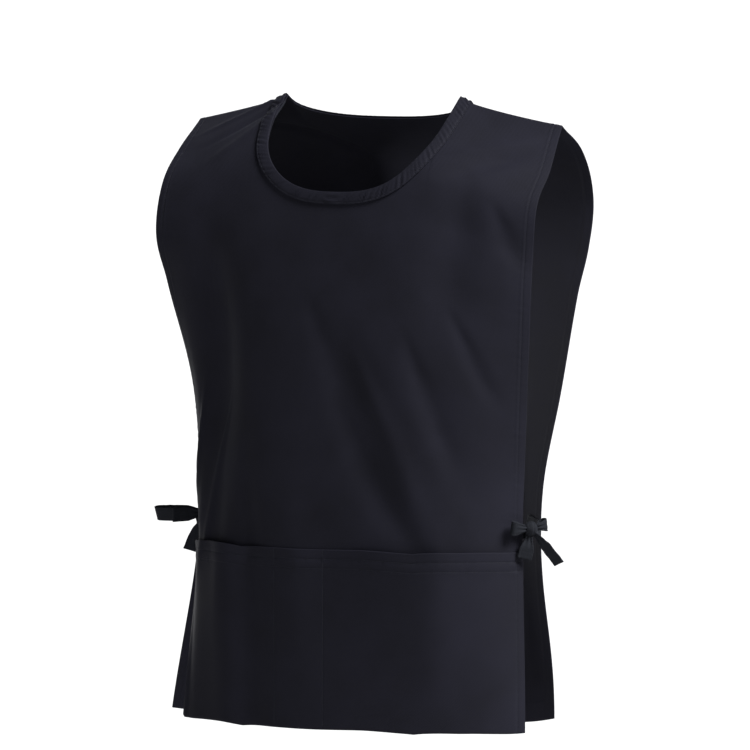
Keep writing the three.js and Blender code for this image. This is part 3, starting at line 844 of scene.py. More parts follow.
@dataclass
class Panel:
    """One panel of the apron, with hems turned to the inside."""

    name: str
    drape: Drape
    neck_depth: float
    foot_stitched: bool
    step: float = 3.4 * MM
    hem_layer: float = 0.5 * MM
    edge_radius: float = 0.9 * MM
    stitch_inset: float = 9.5 * MM
    stitch_dent: float = 0.45 * MM
    pucker: float = 0.32 * MM
    pucker_pitch: float = 8.5 * MM
    pucker_reach: float = 7 * MM
    foot_reach: float = 8 * MM
    foot_inset: float = 2 * MM
    dent_wide: float = 0.9 * MM
    outer_share: float = 0.5
    inner_share: float = 0.4
    under_neck: float = 30 * MM
    closer: float = 1.1

    def columns(self) -> np.ndarray:
        """Places across the panel, close together at its side edges and where the neck turns."""
        coarse, close = 30, 10
        turn = CUT.neck_half - close * MM
        neck = np.concatenate([np.arange(1, coarse + 1) * turn / coarse, turn + np.arange(1, close + 1) * MM])
        fine = (15, 13.4, 12.4, 11.2, 10.2, 9.5, 8.8, 7.6, 5.6, 3.6, 1.8, 0.9, 0.4, 0.12, 0)
        side = graded(CUT.neck_half + self.step, CUT.half_width, self.step, np.array(fine) * MM)
        half = np.concatenate([neck, side])
        return np.concatenate([-half[::-1], [0.0], half])

    def downs(self, columns: np.ndarray) -> np.ndarray:
        """Places down the panel in each column, from the neck edge or shoulder to the hem."""
        top = np.maximum(scoop_depth(columns, self.neck_depth), CUT.clearance)
        foot = hem_down(self.drape, columns)
        fine = np.array([27, 25.2, 24, 22.8, 21, 17, 12, 7, 3.6, 1.8, 0.9, 0.4, 0.12, 0]) * MM
        level = CUT.front_neck_depth + self.under_neck
        rows = round((self.drape.length - level) / self.step)
        shares = np.linspace(0, 1, round(level / self.step), endpoint=False) ** self.closer
        upper = top + (level - top) * shares[:, None]
        lower = level + (foot - fine[0] - level) * np.linspace(0, 1, rows, endpoint=False)[:, None]
        return np.concatenate([upper, lower, foot - fine[:, None]])

    def relief(self, column: np.ndarray, down: np.ndarray) -> np.ndarray:
        """How far the outer skin stands off: the hem's layers, its stitch dents and its puckers."""
        side = CUT.half_width - np.abs(column)
        foot = hem_down(self.drape, column) - down
        hand = np.sign(column)
        layers = self.hem_layer * (1 - ease((side - CUT.side_hem + 1 * MM) / (2 * MM)))
        dent = groove(side - self.stitch_inset, self.stitch_dent, self.dent_wide)
        pull = tugs(down, self.pucker_pitch, 1.0 + hand, side - self.stitch_inset, self.pucker_reach)
        lift = layers * self.outer_share + dent + self.pucker * pull
        if self.foot_stitched:
            turned = self.hem_layer * (1 - ease((foot - CUT.foot_hem + 1 * MM) / (2 * MM)))
            row = groove(foot - CUT.foot_hem + self.foot_inset, self.stitch_dent, self.dent_wide)
            tug = tugs(column, self.pucker_pitch, 0.4, foot - CUT.foot_hem, self.foot_reach)
            lift = lift + turned * self.outer_share + row + self.pucker * tug
        return lift

    def build(self, cloths: Cloths, stitcher: Stitcher) -> list[bpy.types.Object]:
        """Makes the panel and its stitches.

        Args:
            cloths: the finishes.
            stitcher: sews the seams.

        Returns:
            The panel, then its stitches.
        """
        columns = self.columns()
        down = self.downs(columns)
        column = np.broadcast_to(columns, down.shape)
        across = column * side_share(down)
        side = CUT.half_width - np.abs(column)
        foot = hem_down(self.drape, column) - down
        round_off = np.minimum(soft_edge(side, self.edge_radius), soft_edge(foot, self.edge_radius))
        within = np.maximum(1 - ease((side - CUT.side_hem + 0.6 * MM) / (1.2 * MM)),
                            1 - ease((foot - CUT.foot_hem + 0.6 * MM) / (1.2 * MM)))
        half = CUT.cloth / 2
        relief = self.relief(column, down)
        outer = self.drape.surface(across, down, (half + relief) * round_off)
        sunk = half + self.hem_layer * within - relief * self.inner_share
        inner = self.drape.surface(across, down, -sunk * round_off)
        uv = np.stack([column, -down], axis=-1)
        panel = Maker.wall(self.name, outer, inner, uv, cloths.panel)
        seams = stitcher.sew(f"{self.name}_stitches", self.seams())
        return [panel, seams]

    def seams(self) -> list[np.ndarray]:
        """The lines of stitches down both side hems, and along the foot where it shows."""
        lines = []
        end = self.drape.length - CUT.shoulder_drop - 6 * MM
        down = np.arange(4 * MM, end, 4 * MM)
        for hand in Hand:
            column = np.full_like(down, hand.value * (CUT.half_width - self.stitch_inset))
            lines.append(self._on_skin(column, down))
        if self.foot_stitched:
            column = np.arange(-CUT.half_width + 4 * MM, CUT.half_width - 4 * MM, 4 * MM)
            row = hem_down(self.drape, column) - CUT.foot_hem + self.foot_inset
            lines.append(self._on_skin(column, row))
        return lines

    def _on_skin(self, column: np.ndarray, down: np.ndarray) -> np.ndarray:
        """Points just on the outer skin, where the thread lies."""
        lift = CUT.cloth / 2 + self.relief(column, down) + 0.1 * MM
        return self.drape.surface(column * side_share(down), down, lift)


@dataclass
class NeckBand:
    """The bias band that faces the neck edge: folded, puckered by its curve and stitched down."""

    front: Drape
    back: Drape
    steps: int = 260
    crown: float = 0.35 * MM
    pucker: float = 1.15 * MM
    pucker_pitch: float = 6.4 * MM
    slant: float = 0.7
    crease_middle: float = 0.52
    crease_reach: float = 0.42
    stitch_inset: float = 1.6 * MM
    stitch_dent: float = 0.5 * MM
    dent_wide: float = 0.8 * MM

    def places(self, turns: np.ndarray, side: Side, wide: np.ndarray) -> tuple[np.ndarray, np.ndarray]:
        """Pattern places along the neck edge, moved outwards by widths.

        Args:
            turns: angles from the wearer's right shoulder (0) round to the left one (pi).
            side: the panel.
            wide: distances from the neck edge.

        Returns:
            The places across and down, a row for each angle and a column for each width.
        """
        depth = CUT.front_neck_depth if side is Side.FRONT else CUT.back_neck_depth
        edge = self._scoop(turns, depth)
        before, after = self._scoop(turns - 0.02, depth), self._scoop(turns + 0.02, depth)
        off = unit(np.stack([-(after - before)[:, 1], (after - before)[:, 0]], axis=-1))
        spot = edge[:, None] + off[:, None] * wide[None, :, None]
        turn = -side.value
        return turn * spot[..., 0], np.maximum(spot[..., 1], 0.0)

    @staticmethod
    def _scoop(turns: np.ndarray, depth: float) -> np.ndarray:
        """Points of the neck edge on the pattern."""
        c, s = np.cos(turns), np.sin(turns)
        share = 2 / WORN.scoop_power
        x = -CUT.neck_half * np.sign(c) * np.abs(c) ** share
        return np.stack([x, depth * np.sign(s) * np.abs(s) ** share], axis=-1)

    def lift(self, wide: np.ndarray, length: np.ndarray) -> np.ndarray:
        """How far the band's outer skin stands off the panel's middle."""
        base = CUT.cloth / 2 + 4 * CUT.clearance + CUT.cloth
        inset = CUT.band_width - self.stitch_inset
        share = wide / CUT.band_width
        crown = self.crown * np.sin(math.pi * np.clip(share, 0, 1)) ** 0.6
        slant = length + self.slant * wide
        away = share - self.crease_middle
        creases = self.pucker * tugs(slant, self.pucker_pitch, 0.7, away, self.crease_reach)
        return base + crown + creases + groove(wide - inset, self.stitch_dent, self.dent_wide)

    def build(self, cloths: Cloths, stitcher: Stitcher) -> list[bpy.types.Object]:
        """Makes the band and its stitches.

        Args:
            cloths: the finishes.
            stitcher: sews the seam.

        Returns:
            The band, then its stitches.
        """
        wide = np.array([-1, -0.9, -0.5, 0.2, 1.4, 3, 5, 7, 9, 10.6, 11.3, 11.9, 12.5, 13.1, 13.4, 13.5]) * MM
        turns = (1 - np.cos(np.arange(self.steps) / self.steps * math.pi)) * math.pi / 2
        frames, flats, seam = [], [], []
        so_far = 0.0
        for drape in (self.front, self.back):
            across, down = self.places(turns, drape.side, wide)
            foot = drape.point(across[:, 0], down[:, 0])
            steps = np.linalg.norm(np.diff(foot, axis=0), axis=1)
            length = so_far + np.concatenate([[0.0], np.cumsum(steps)])
            so_far = float(length[-1] + steps[-1])
            edge = np.minimum(wide + CUT.band_lip, CUT.band_width - wide)
            low = CUT.cloth / 2 + 4 * CUT.clearance
            high = self.lift(wide[None, :], length[:, None])
            top = low + 0.5 * CUT.cloth + (high - low - 0.5 * CUT.cloth) * soft_edge(edge, 0.7 * MM)
            outer = drape.surface(across, down, top)
            inner = drape.surface(across, down, np.full_like(across, low))
            frames.append(np.concatenate([outer, inner[:, ::-1]], axis=1))
            row = np.concatenate([wide, wide[::-1]])
            bias = math.radians(45)
            u, v = np.meshgrid(row, length)
            flats.append(np.stack([u * math.cos(bias) - v * math.sin(bias),
                                   u * math.sin(bias) + v * math.cos(bias)], axis=-1))
            inset = np.array([CUT.band_width - self.stitch_inset])
            over, under = self.places(turns, drape.side, inset)
            height = self.lift(inset[None, :], length[:, None]) + 0.1 * MM
            seam.append(drape.surface(over, under, height)[:, 0])
        band = Maker.tube("neck_band", np.concatenate(frames), np.concatenate(flats), True, cloths.band)
        line = np.concatenate([*seam, seam[0][:1]])
        return [band, stitcher.sew("neck_band_stitches", [line])]


@dataclass
class Pocket:
    """The lap pocket: a hemmed top edge, two stitched divisions, and a foot that turns up from the hem.

    cut_place is how far along the cloth it was cut, so that its patches of tone aren't the panel's.
    """

    drape: Drape
    step: float = 3.4 * MM
    hem_layer: float = 0.36 * MM
    stitch_dent: float = 0.45 * MM
    dent_wide: float = 0.9 * MM
    seam_dent: float = 0.22 * MM
    seam_wide: float = 1.1 * MM
    pucker: float = 0.4 * MM
    pucker_pitch: float = 6.0 * MM
    hem_reach: float = 5 * MM
    division_pucker: float = 0.14 * MM
    division_pitch: float = 9.6 * MM
    side_pitch: float = 8.4 * MM
    seam_reach: float = 7 * MM
    edge_radius: float = 0.9 * MM
    foot_radius: float = 2.2 * MM
    side_stitch: float = 9.5 * MM
    stitch_run: float = 3.5 * MM
    cut_place: float = 0.9
    rows_down: tuple[float, float] = (11.5 * MM, 22.5 * MM)
    divisions: tuple[float, float] = (-CUT.pen_slot_width, 0.0)
    roomy: float = 3 * CUT.pen_slot_width
    bow_power: float = 1.7
    rise_power: float = 1.3

    def stand_off(self, column: np.ndarray, up: np.ndarray) -> np.ndarray:
        """How far the pocket's middle stands off the panel's: closed at its stitches, open at its top."""
        seams = np.array([-CUT.half_width, *self.divisions, CUT.half_width])
        k = np.clip(np.searchsorted(seams, column, side="left"), 1, 3)
        start, end = seams[k - 1], seams[k]
        bow = np.sin(math.pi * np.clip((column - start) / (end - start), 0, 1)) ** self.bow_power
        share = np.clip(up / CUT.pocket_height, 0, 1) ** self.rise_power
        room = WORN.pocket_gape * np.minimum(1, ((end - start) / self.roomy) ** 2)
        return CUT.cloth + CUT.clearance + room * bow * share

    def relief(self, column: np.ndarray, up: np.ndarray) -> np.ndarray:
        """The outer skin's hem layers, stitch dents and puckers."""
        below = CUT.pocket_height - up
        side = CUT.half_width - np.abs(column)
        lift = self.hem_layer * (1 - ease((below - CUT.pocket_hem + 1 * MM) / (2 * MM)))
        for k, row in enumerate(self.rows_down):
            pull = tugs(column, self.pucker_pitch, 2.0 + k, below - row, self.hem_reach)
            lift = lift + groove(below - row, self.stitch_dent, self.dent_wide) + self.pucker * pull
        for k, line in enumerate(self.divisions):
            pull = tugs(up, self.division_pitch, 5.0 + k, column - line, self.seam_reach)
            lift = lift + groove(column - line, self.seam_dent, self.seam_wide) + self.division_pucker * pull
        pull = tugs(up, self.side_pitch, 8.0, side - self.side_stitch, self.seam_reach)
        return lift + groove(side - self.side_stitch, self.stitch_dent, self.dent_wide) + self.pucker * pull

    def columns(self) -> np.ndarray:
        """Places across the pocket, close together at its edges and stitched divisions."""
        fine = np.array([15, 12.4, 10.4, 9.5, 8.6, 6.5, 4, 1.8, 0.9, 0.4, 0.12, 0]) * MM
        near = np.array([5, 2.4, 1.2, 0.5]) * MM
        spots = [-CUT.half_width + fine, CUT.half_width - fine]
        for line in self.divisions:
            spots += [line - near, [line], line + near]
        marks = np.unique(np.concatenate(spots))
        parts = [marks]
        for low, high in zip(marks[:-1], marks[1:]):
            count = int((high - low) / self.step)
            if count > 1:
                parts.append(np.linspace(low, high, count + 1)[1:-1])
        return np.unique(np.concatenate(parts))

    def ups(self) -> np.ndarray:
        """Heights above the hem, from the pocket's top down."""
        height = CUT.pocket_height
        top = [0, 0.12, 0.4, 0.9, 1.8, 4, 7, 9.5, 10.8, 11.5, 12.2, 14, 17, 20, 21.8, 22.5, 23.2, 24.4, 26]
        upper = height - np.array(top) * MM
        middle = np.linspace(upper[-1], 0.006, 52)[1:]
        return np.concatenate([upper, middle, np.array([4, 2.4, 1.2, 0.5, 0.15, 0]) * MM])

    def build(self, cloths: Cloths, stitcher: Stitcher) -> list[bpy.types.Object]:
        """Makes the pocket and its stitches.

        Args:
            cloths: the finishes.
            stitcher: sews the seams.

        Returns:
            The pocket, then its stitches.
        """
        column, up = np.meshgrid(self.columns(), self.ups())
        down = hem_down(self.drape, column) - up
        side = CUT.half_width - np.abs(column)
        round_off = np.minimum(soft_edge(side, self.edge_radius),
                               soft_edge(CUT.pocket_height - up, self.edge_radius))
        foot = soft_edge(up, self.foot_radius)
        middle = self.stand_off(column, up)
        half = CUT.cloth / 2
        relief = self.relief(column, up)
        top = middle - half + (CUT.cloth + relief) * foot
        core = middle - (1 - foot) * half
        outer = self.drape.surface(column, down, core + (top - core) * round_off)
        inner = self.drape.surface(column, down, middle - half * round_off)
        uv = np.stack([column, up + self.cut_place], axis=-1)
        pocket = Maker.wall("pocket_cloth", outer, inner, uv, cloths.panel)
        return [pocket, stitcher.sew("pocket_stitches", self.seams())]

    def seams(self) -> list[np.ndarray]:
        """The stitch lines: along the top hem, down the divisions and down both sides."""
        lines = []
        across = np.arange(-CUT.half_width + 2 * MM, CUT.half_width - 2 * MM, self.stitch_run)
        for row in self.rows_down:
            lines.append(self._on_skin(across, np.full_like(across, CUT.pocket_height - row)))
        rise = np.arange(CUT.pocket_height - 1 * MM, 3 * MM, -self.stitch_run)
        side = CUT.half_width - self.side_stitch
        for line in (*self.divisions, -side, side):
            lines.append(self._on_skin(np.full_like(rise, line), rise))
        return lines

    def _on_skin(self, column: np.ndarray, up: np.ndarray) -> np.ndarray:
        """Points just on the outer skin, where the thread lies."""
        lift = self.stand_off(column, up) + CUT.cloth / 2 + self.relief(column, up) + 0.1 * MM
        return self.drape.surface(column, hem_down(self.drape, column) - up, lift)


@dataclass
class Strap:
    """A folded strip of twill, stitched along both edges, that runs along a path."""

    name: str
    path: np.ndarray
    wide: np.ndarray
    share: np.ndarray
    phase: float
    square_end: bool = False
    step: float = 1.6 * MM
    pleat: float = 0.9 * MM
    pleat_turn: float = 7.5
    waver: float = 0.35 * MM
    sway_pitch: float = 13 * MM
    twist_pitch: float = 8.5 * MM
    edge_radius: float = 0.7 * MM
    edge_stitch: float = 2.2 * MM
    stitch_dent: float = 0.22 * MM
    dent_wide: float = 0.7 * MM
    end_hem: float = 7 * MM
    end_stitch: float = 5 * MM
    end_layer: float = 0.45

    def __post_init__(self) -> None:
        """Runs a smooth line of evenly spaced places through the path's corners."""
        run = np.concatenate([[0.0], np.cumsum(np.linalg.norm(np.diff(self.path, axis=0), axis=1))])
        count = max(8, round(run[-1] / self.step))
        places = np.linspace(0, run[-1], count + 1)
        if self.square_end:
            places = np.concatenate([places[:-1], run[-1] - np.array([0.5, 0.15, 0.0]) * MM])
        self.length = places
        self.path = through(run, self.path, places)
        self.wide = through(run, self.wide, places)
        self.share = np.interp(places, run, self.share)

    def frames(self) -> tuple[np.ndarray, np.ndarray]:
        """The directions across the strap and out of its face, at each place."""
        ahead = unit(np.gradient(self.path, axis=0))
        wide = unit(self.wide - ahead * np.sum(self.wide * ahead, axis=1)[:, None])
        return wide, np.cross(ahead, wide)

    def face(self, spot: np.ndarray) -> tuple[np.ndarray, np.ndarray]:
        """The middle and half the thickness of the strap.

        Args:
            spot: places across it, from -1 to 1.

        Returns:
            The height of the middle above the path, and half the thickness, for each place along and across.
        """
        along, share = self.length[:, None], self.share[:, None]
        width = share * CUT.tie_width
        gathers = np.clip((1 - share) / (1 - BOW.gather), 0, 1)
        pleats = self.pleat * gathers * np.sin(spot * self.pleat_turn + self.phase * 2)
        sway = ripple(along, self.sway_pitch, self.phase)
        twist = ripple(along, self.twist_pitch, self.phase + 2)
        waves = self.waver * (sway + 0.5 * spot * twist)
        edge = (1 - np.abs(spot)) * width / 2
        half = CUT.tie_thickness / 2 * soft_edge(edge, self.edge_radius)
        half = half + groove(edge - self.edge_stitch * share, self.stitch_dent, self.dent_wide)
        if self.square_end:
            left = self.length[-1] - along
            turned = 1 - ease((left - self.end_hem) / (1 * MM))
            half = half * (1 + self.end_layer * turned) * soft_edge(left, 0.6 * MM)
            half = half + groove(left - self.end_stitch, self.stitch_dent, self.dent_wide) * (left > 1 * MM)
        return pleats + waves, half

    def build(self, material: bpy.types.Material) -> bpy.types.Object:
        """Makes the strap as one closed piece."""
        turns = np.linspace(0, math.pi, 17)
        spot = np.cos(turns)
        middle, half = self.face(spot[None, :])
        middle = np.broadcast_to(middle, half.shape)
        wide, out = self.frames()
        across = wide[:, None, :] * (spot[None, :] * self.share[:, None] * CUT.tie_width / 2)[..., None]
        upper = self.path[:, None, :] + across + out[:, None, :] * (middle + half)[..., None]
        lower = self.path[:, None, :] + across + out[:, None, :] * (middle - half)[..., None]
        ring = np.concatenate([upper, lower[:, ::-1]], axis=1)
        flat = np.concatenate([spot, spot[::-1] + 2.2]) * CUT.tie_width / 2
        u, v = np.meshgrid(flat, self.length + self.phase)
        return Maker.tube(self.name, ring, np.stack([u, v], axis=-1), False, material)

    def seams(self) -> list[np.ndarray]:
        """The rows of stitches along both edges, on both faces."""
        lines = []
        wide, out = self.frames()
        row = 1 - 2 * self.edge_stitch / CUT.tie_width
        for spot in (-row, row):
            middle, half = self.face(np.array([[spot]]))
            across = wide * (spot * self.share * CUT.tie_width / 2)[:, None]
            for sign in (1, -1):
                lift = middle + sign * (half + 0.1 * MM)
                lines.append((self.path + across + out * lift)[2:-2])
        return lines


@dataclass(frozen=True)
class BowPiece:
    """A loop or free end of a bow.

    way and wide are steps out from the body, ahead and up: the way that the piece runs from the knot, and
    the way that its width lies. length is in knot sizes.
    """

    name: str
    way: tuple[float, float, float]
    wide: tuple[float, float, float]
    length: float
    loop: bool = False


# Each knot's place from the front panel's side edge: millimetres out from the body, ahead and up.
LEFT_KNOT = (13.0, 4.5, 4.0)
RIGHT_KNOT = (3.0, -12.0, -10.0)
LEFT_BOW = (
    BowPiece("loop_front", (-0.6, 0.86, 0.05), (0.2, 0.1, 1.0), 1.0, loop=True),
    BowPiece("loop_back", (0.5, -0.85, 0.2), (0.0, 0.2, 1.0), 0.75, loop=True),
    BowPiece("tail_long", (0.52, -0.3, -0.75), (0.82, 0.38, 0.41), 2.6),
    BowPiece("tail_short", (-0.17, 0.14, -1.0), (0.88, -0.47, 0.0), 1.6),
)
RIGHT_BOW = (
    BowPiece("loop_out", (1.0, 0.28, -0.02), (0.1, 0.3, 0.9), 3.2, loop=True),
    BowPiece("loop_in", (-1.0, -0.05, -0.1), (0.0, 0.1, 1.0), 1.2, loop=True),
    BowPiece("tail_out", (0.75, 0.8, -0.04), (0.0, 0.1, 1.0), 2.1),
    BowPiece("tail_down", (0.45, 0.2, -1.0), (0.5, 0.7, 0.1), 2.4),
)


@dataclass
class SideBow:
    """The two ties at one side, and the bow that holds them together."""

    front: Drape
    back: Drape
    hand: Hand
    knot_step: tuple[float, float, float]
    pieces: tuple[BowPiece, ...]

    def __post_init__(self) -> None:
        """Finds the knot from the front panel's side edge."""
        sign = self.hand.value
        self.label = self.hand.name.lower()
        self.down = BOW.tie_down - sign * WORN.hem_skew * BOW.tie_down / CUT.front_length
        edge = self.front.point(np.array(sign * CUT.half_width), np.array(self.down))
        self.knot = edge + self.toward(self.knot_step) * MM

    def toward(self, steps: tuple[float, float, float]) -> np.ndarray:
        """Turns steps out from the body, ahead and up into a vector."""
        out, ahead, up = steps
        return np.array([self.hand.value * out, -ahead, up])

    @staticmethod
    def reach(way: np.ndarray) -> float:
        """From the middle of the knot to just clear of its surface."""
        across = math.hypot(way[0], way[1]) / (BOW.slim * BOW.knot / 2)
        return 1 / math.hypot(across, way[2] / (BOW.knot / 2)) + CUT.clearance

    @staticmethod
    def gathered(distance: np.ndarray) -> np.ndarray:
        """A strap's share of its width at a distance from the knot."""
        return BOW.gather + (1 - BOW.gather) * ease(distance / BOW.knot)

    def tie(self, drape: Drape) -> Strap:
        """A tie: flat inside the panel where it is sewn on, round past the side edge, and up to the knot."""
        sign = self.hand.value
        down = self.down + (BOW.back_tie_lower if drape.side is Side.BACK else 0.0)
        inside = CUT.cloth / 2 + 3 * CUT.clearance + CUT.tie_thickness / 2
        across = sign * (CUT.half_width - np.array([28, 21, 14, 7, 0]) * MM)
        place = np.full_like(across, down)
        points = drape.point(across, place) - drape.outward(across, place) * inside
        half = CUT.tie_width / 2
        wide = unit(drape.point(across, place - half) - drape.point(across, place + half))
        corner = points[-1] + unit(points[-1] - points[-2]) * BOW.past_edge
        way = unit(corner - self.knot)
        end = self.knot + way * (self.reach(way) - 1.2 * MM)
        path = np.concatenate([points, [corner, end]])
        up = np.array([0.0, 0.0, 1.0])
        share = np.array([1, 1, 1, 1, 1, 1, BOW.gather])
        name = f"{drape.side.name.lower()}_tie_{self.label}"
        return Strap(name, path, np.concatenate([wide, [up, up]]), share, 1.3 + sign)

    def loop(self, start: np.ndarray, ahead: np.ndarray, wide: np.ndarray, piece: BowPiece) -> Strap:
        """A loop that leaves the knot, bends round at its end and comes back beside itself.

        Args:
            start: where it leaves the knot.
            ahead: the way that it runs.
            wide: the way across the strap.
            piece: its measures.

        Returns:
            The strap.
        """
        aside = unit(np.cross(ahead, wide))
        along = np.array([-0.06, 0.0, 0.3, 0.65, 0.92, 1.0, 0.92, 0.65, 0.3, 0.0, -0.06])
        off = np.array([0.3, 0.35, 0.8, 1.0, 0.7, 0.0, -0.7, -1.0, -0.8, -0.35, -0.3])
        room = (off * BOW.opening + np.sign(off) * CUT.tie_thickness) / 2
        length = piece.length * BOW.knot
        path = start + ahead * (along * length)[:, None] + aside * room[:, None]
        share = self.gathered(np.linalg.norm(path - start, axis=1))
        return Strap(self.name_of(piece), path, np.tile(wide, (len(path), 1)), share, len(piece.name) * 0.9)

    def tail(self, start: np.ndarray, ahead: np.ndarray, wide: np.ndarray, piece: BowPiece) -> Strap:
        """A free end that leaves the knot with a slight bend.

        Args:
            start: where it leaves the knot.
            ahead: the way that it runs.
            wide: the way across the strap.
            piece: its measures.

        Returns:
            The strap.
        """
        along = np.array([-0.04, 0.0, 0.2, 0.4, 0.6, 0.8, 1.0])
        bend = self.toward((1.0, 1.0, 0.0)) * MM
        length = piece.length * BOW.knot
        path = start + ahead * (along * length)[:, None] + bend * np.sin(math.pi * along)[:, None]
        share = self.gathered(np.linalg.norm(path - start, axis=1))
        wides = np.tile(wide, (len(path), 1))
        return Strap(self.name_of(piece), path, wides, share, len(piece.name) * 0.7, square_end=True)

    def name_of(self, piece: BowPiece) -> str:
        """The full name of a piece of this bow."""
        return f"{self.label}_bow_{piece.name}"

    def wrap(self, material: bpy.types.Material) -> bpy.types.Object:
        """The knot: a snug pad of folded tape with one turn of the strap drawn round it."""
        first = self.pieces[0]
        axis = unit(self.toward(first.way))
        up = unit(np.array([0.0, 0.0, 1.0]) - axis * axis[2])
        side = np.cross(axis, up)
        around = np.linspace(0, 2 * math.pi, 64, endpoint=False)
        along = np.linspace(-1, 1, 27)
        turn, place = np.meshgrid(around, along)
        swell = np.sqrt(np.maximum(1 - place**2, 0.02)) ** 0.62
        band = 1 - ease((np.abs(place) - 0.46) / 0.12)
        pleats = 0.045 * np.sin(place * 13 + 0.8 * np.sin(turn)) * band
        folds = 0.05 * np.sin(turn * 5 + place * 3 + self.hand.value) * (1 - band)
        size = BOW.knot / 2 * (0.86 * swell + 0.13 * band * swell + pleats + folds * swell)
        spoke = np.cos(turn)[..., None] * up + np.sin(turn)[..., None] * side * BOW.slim
        ring = self.knot + spoke * size[..., None] + axis * (place * BOW.knot / 2 * BOW.slim)[..., None]
        flat = np.stack([turn * BOW.knot / 2, place * BOW.knot / 2], axis=-1)
        return Maker.tube(f"{self.label}_bow_knot", ring, flat, False, material)

    def build(self, cloths: Cloths, stitcher: Stitcher) -> dict[str, bpy.types.Object]:
        """Makes every piece of the bow.

        Args:
            cloths: the finishes.
            stitcher: sews the seams.

        Returns:
            The pieces, by the names of the solid nodes that they stand for, and the stitches by "".
        """
        label, made, seams = self.label, {}, []
        straps = {f"tie_front_{label}": self.tie(self.front), f"tie_back_{label}": self.tie(self.back)}
        for piece in self.pieces:
            ahead, lie = unit(self.toward(piece.way)), unit(self.toward(piece.wide))
            start = self.knot + ahead * self.reach(ahead)
            shape = self.loop if piece.loop else self.tail
            straps[f"bow_{label}_{piece.name}"] = shape(start, ahead, lie, piece)
        for node, strap in straps.items():
            made[node] = strap.build(cloths.tape)
            seams += strap.seams()
        made[f"bow_{label}_knot"] = self.wrap(cloths.tape)
        made[""] = stitcher.sew(f"{label}_bow_stitches", seams)
        return made


@dataclass
class Apron:
    """The whole apron, made of its parts."""

    cloths: Cloths
    stitcher: Stitcher

    def __post_init__(self) -> None:
        """Hangs the two panels."""
        self.front = Drape(Side.FRONT, WORN.chest_reach, CUT.front_length, FRONT_ROWS, FRONT_FOLDS,
                           FRONT_CREASES)
        self.back = Drape(Side.BACK, WORN.back_reach, CUT.back_length, BACK_ROWS, BACK_FOLDS, BACK_CREASES)

    def build(self) -> None:
        """Makes each part with its finish, gives it its body and hides the imported solid that it stands for.
        """
        tools = (self.cloths, self.stitcher)
        front = Panel("front_cloth", self.front, CUT.front_neck_depth, foot_stitched=False).build(*tools)
        back = Panel("back_cloth", self.back, CUT.back_neck_depth, foot_stitched=True).build(*tools)
        band = NeckBand(self.front, self.back).build(*tools)
        pocket = Pocket(self.front).build(*tools)
        for pieces, node, slot in ((front, "front_panel", "cloth"), (back, "back_panel", "cloth"),
                                   (pocket, "pocket", "cloth"), (band, "neck_binding", "binding")):
            self.place(pieces, node, slot)
        extras = list(band)
        for hand, step, parts in ((Hand.LEFT, LEFT_KNOT, LEFT_BOW), (Hand.RIGHT, RIGHT_KNOT, RIGHT_BOW)):
            bow = SideBow(self.front, self.back, hand, step, parts).build(*tools)
            for node, piece in bow.items():
                self.place([piece], node, "tie")
            extras += list(bow.values())

    @staticmethod
    def place(pieces: list[bpy.types.Object], node: str, slot: str) -> None:
        """Gives pieces their body, logs their slot and hides the imported solid of their node.

        Args:
            pieces: the pieces.
            node: the solid that the first one stands for, or nothing.
            slot: the slot of them all.
        """
        for piece in pieces:
            log.info("made %s, in %s", piece.name, slot)
            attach(piece, BODY)
        if node:
            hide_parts(node)


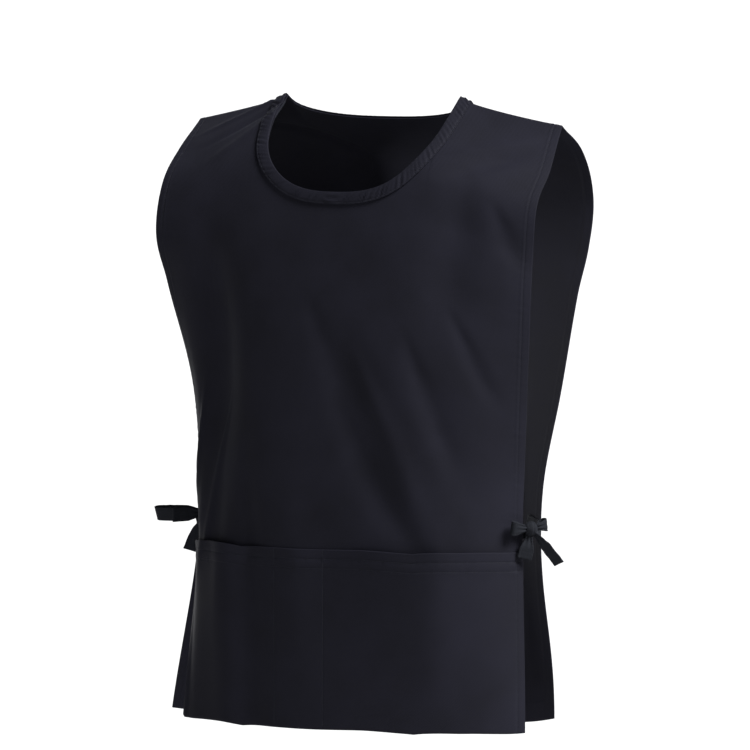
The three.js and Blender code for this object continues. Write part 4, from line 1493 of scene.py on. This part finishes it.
@dataclass
class Studio:
    """A white sweep under soft light, and the camera."""

    aim: Vector = field(default_factory=lambda: Vector((0.0, 0.0, -0.325)))
    azimuth: float = 28.0
    elevation: float = 3.6
    distance: float = 12.0
    lens: float = 492.6
    floor: float = -1.40
    key_way: tuple[float, float, float] = (0.70, -0.08, 0.71)
    key_power: float = 9.8
    key_spread: float = 24.0
    rim_power: float = 10.0
    inside_power: float = 0.55
    fill_power: float = 8.0
    lamp_spread: float = 100.0
    surround_strength: float = 0.10
    floor_reach: float = 150.0

    def __post_init__(self) -> None:
        """Finds the camera's way and its right-hand side."""
        turn, rise = math.radians(self.azimuth), math.radians(self.elevation)
        flat = math.cos(rise)
        self.way = Vector((math.sin(turn) * flat, -math.cos(turn) * flat, math.sin(rise)))
        self.right = Vector((math.cos(turn), math.sin(turn), 0.0))

    def camera(self) -> None:
        """Sets the scene's camera."""
        data = bpy.data.cameras.new("camera")
        data.lens = self.lens
        data.sensor_width = 36.0
        data.shift_x = 2 / 750
        data.clip_end = 400.0
        seen = bpy.data.objects.new("camera", data)
        bpy.context.scene.collection.objects.link(seen)
        seen.location = self.aim + self.way * self.distance
        seen.rotation_euler = (-self.way).to_track_quat("-Z", "Y").to_euler()
        bpy.context.scene.camera = seen

    def softbox(self, name: str, way: Vector, distance: float, size: tuple[float, float],
                power: float) -> None:
        """Adds a rectangular lamp that points at the apron.

        Args:
            name: the lamp's name.
            way: the way to it from the middle of the apron.
            distance: how far away it stands.
            size: its width and height.
            power: its power in watts.
        """
        data = bpy.data.lights.new(name, "AREA")
        data.shape = "RECTANGLE"
        data.size, data.size_y = size
        data.energy = power
        data.spread = math.radians(self.lamp_spread)
        lamp = bpy.data.objects.new(name, data)
        bpy.context.scene.collection.objects.link(lamp)
        lamp.location = self.aim + way.normalized() * distance
        lamp.rotation_euler = (-way).to_track_quat("-Z", "Y").to_euler()
        lamp.visible_camera = False

    def sweep(self) -> None:
        """Lays a plain floor, so wide that its edge is lost in the light."""
        data = bpy.data.meshes.new("floor")
        far = self.floor_reach
        ends = [(x * far, y * far, self.floor) for x, y in ((-1, -1), (1, -1), (1, 1), (-1, 1))]
        data.from_pydata(ends, [], [(0, 1, 2, 3)])
        paint = bpy.data.materials.new("floor_paint")
        paint.use_nodes = True
        shader = paint.node_tree.nodes["Principled BSDF"]
        shader.inputs["Base Color"].default_value = linear("#bebebe")
        shader.inputs["Roughness"].default_value = 0.9
        shader.inputs["Specular IOR Level"].default_value = 0.1
        data.materials.append(paint)
        floor = bpy.data.objects.new("floor", data)
        bpy.context.scene.collection.objects.link(floor)

    def world(self) -> None:
        """A plain white surround."""
        scene = bpy.context.scene
        scene.world = scene.world or bpy.data.worlds.new("surround")
        scene.world.use_nodes = True
        ground = scene.world.node_tree.nodes.get("Background")
        ground.inputs["Color"].default_value = (1.0, 1.0, 1.0, 1.0)
        ground.inputs["Strength"].default_value = self.surround_strength
        scene.view_settings.view_transform = "Standard"

    def build(self) -> None:
        """Sets up floor, surround, lamps and camera."""
        self.sweep()
        self.world()
        sun = bpy.data.lights.new("key", "SUN")
        sun.energy = self.key_power
        sun.angle = math.radians(self.key_spread)
        lamp = bpy.data.objects.new("key", sun)
        bpy.context.scene.collection.objects.link(lamp)
        lamp.location = Vector(self.key_way) * 4
        lamp.rotation_euler = (-Vector(self.key_way)).to_track_quat("-Z", "Y").to_euler()
        up = Vector((0.0, 0.0, 1.0))
        behind = self.right * -0.46 - self.way * 0.88 + up * 0.16
        self.softbox("rim", behind, 3.0, (0.8, 2.2), self.rim_power)
        self.softbox("fill", self.way - self.right * 0.15 + up * 0.3, 4.0, (2.5, 2.0), self.fill_power)
        self.softbox("inside", self.right * -1.0 + up * 0.1, 0.04, (0.16, 0.5), self.inside_power)
        self.camera()


def main() -> None:
    """Builds the apron and the studio."""
    logging.basicConfig(level=logging.INFO)
    navy = TwillFinish("navy_twill", "#09090e", "#181821", 1.5 * MM)
    band = TwillFinish("navy_twill_bias", "#09090e", "#181821", 1.5 * MM)
    tape = TwillFinish("navy_tape", "#0d0e12", "#1a1c21", 1.2 * MM)
    thread = ThreadFinish("navy_thread", "#12131a", "#1a1c24")
    cloths = Cloths(navy.material(), band.material(), tape.material())
    Apron(cloths, Stitcher(thread.material())).build()
    Studio().build()


if __name__ == "__main__":
    main()
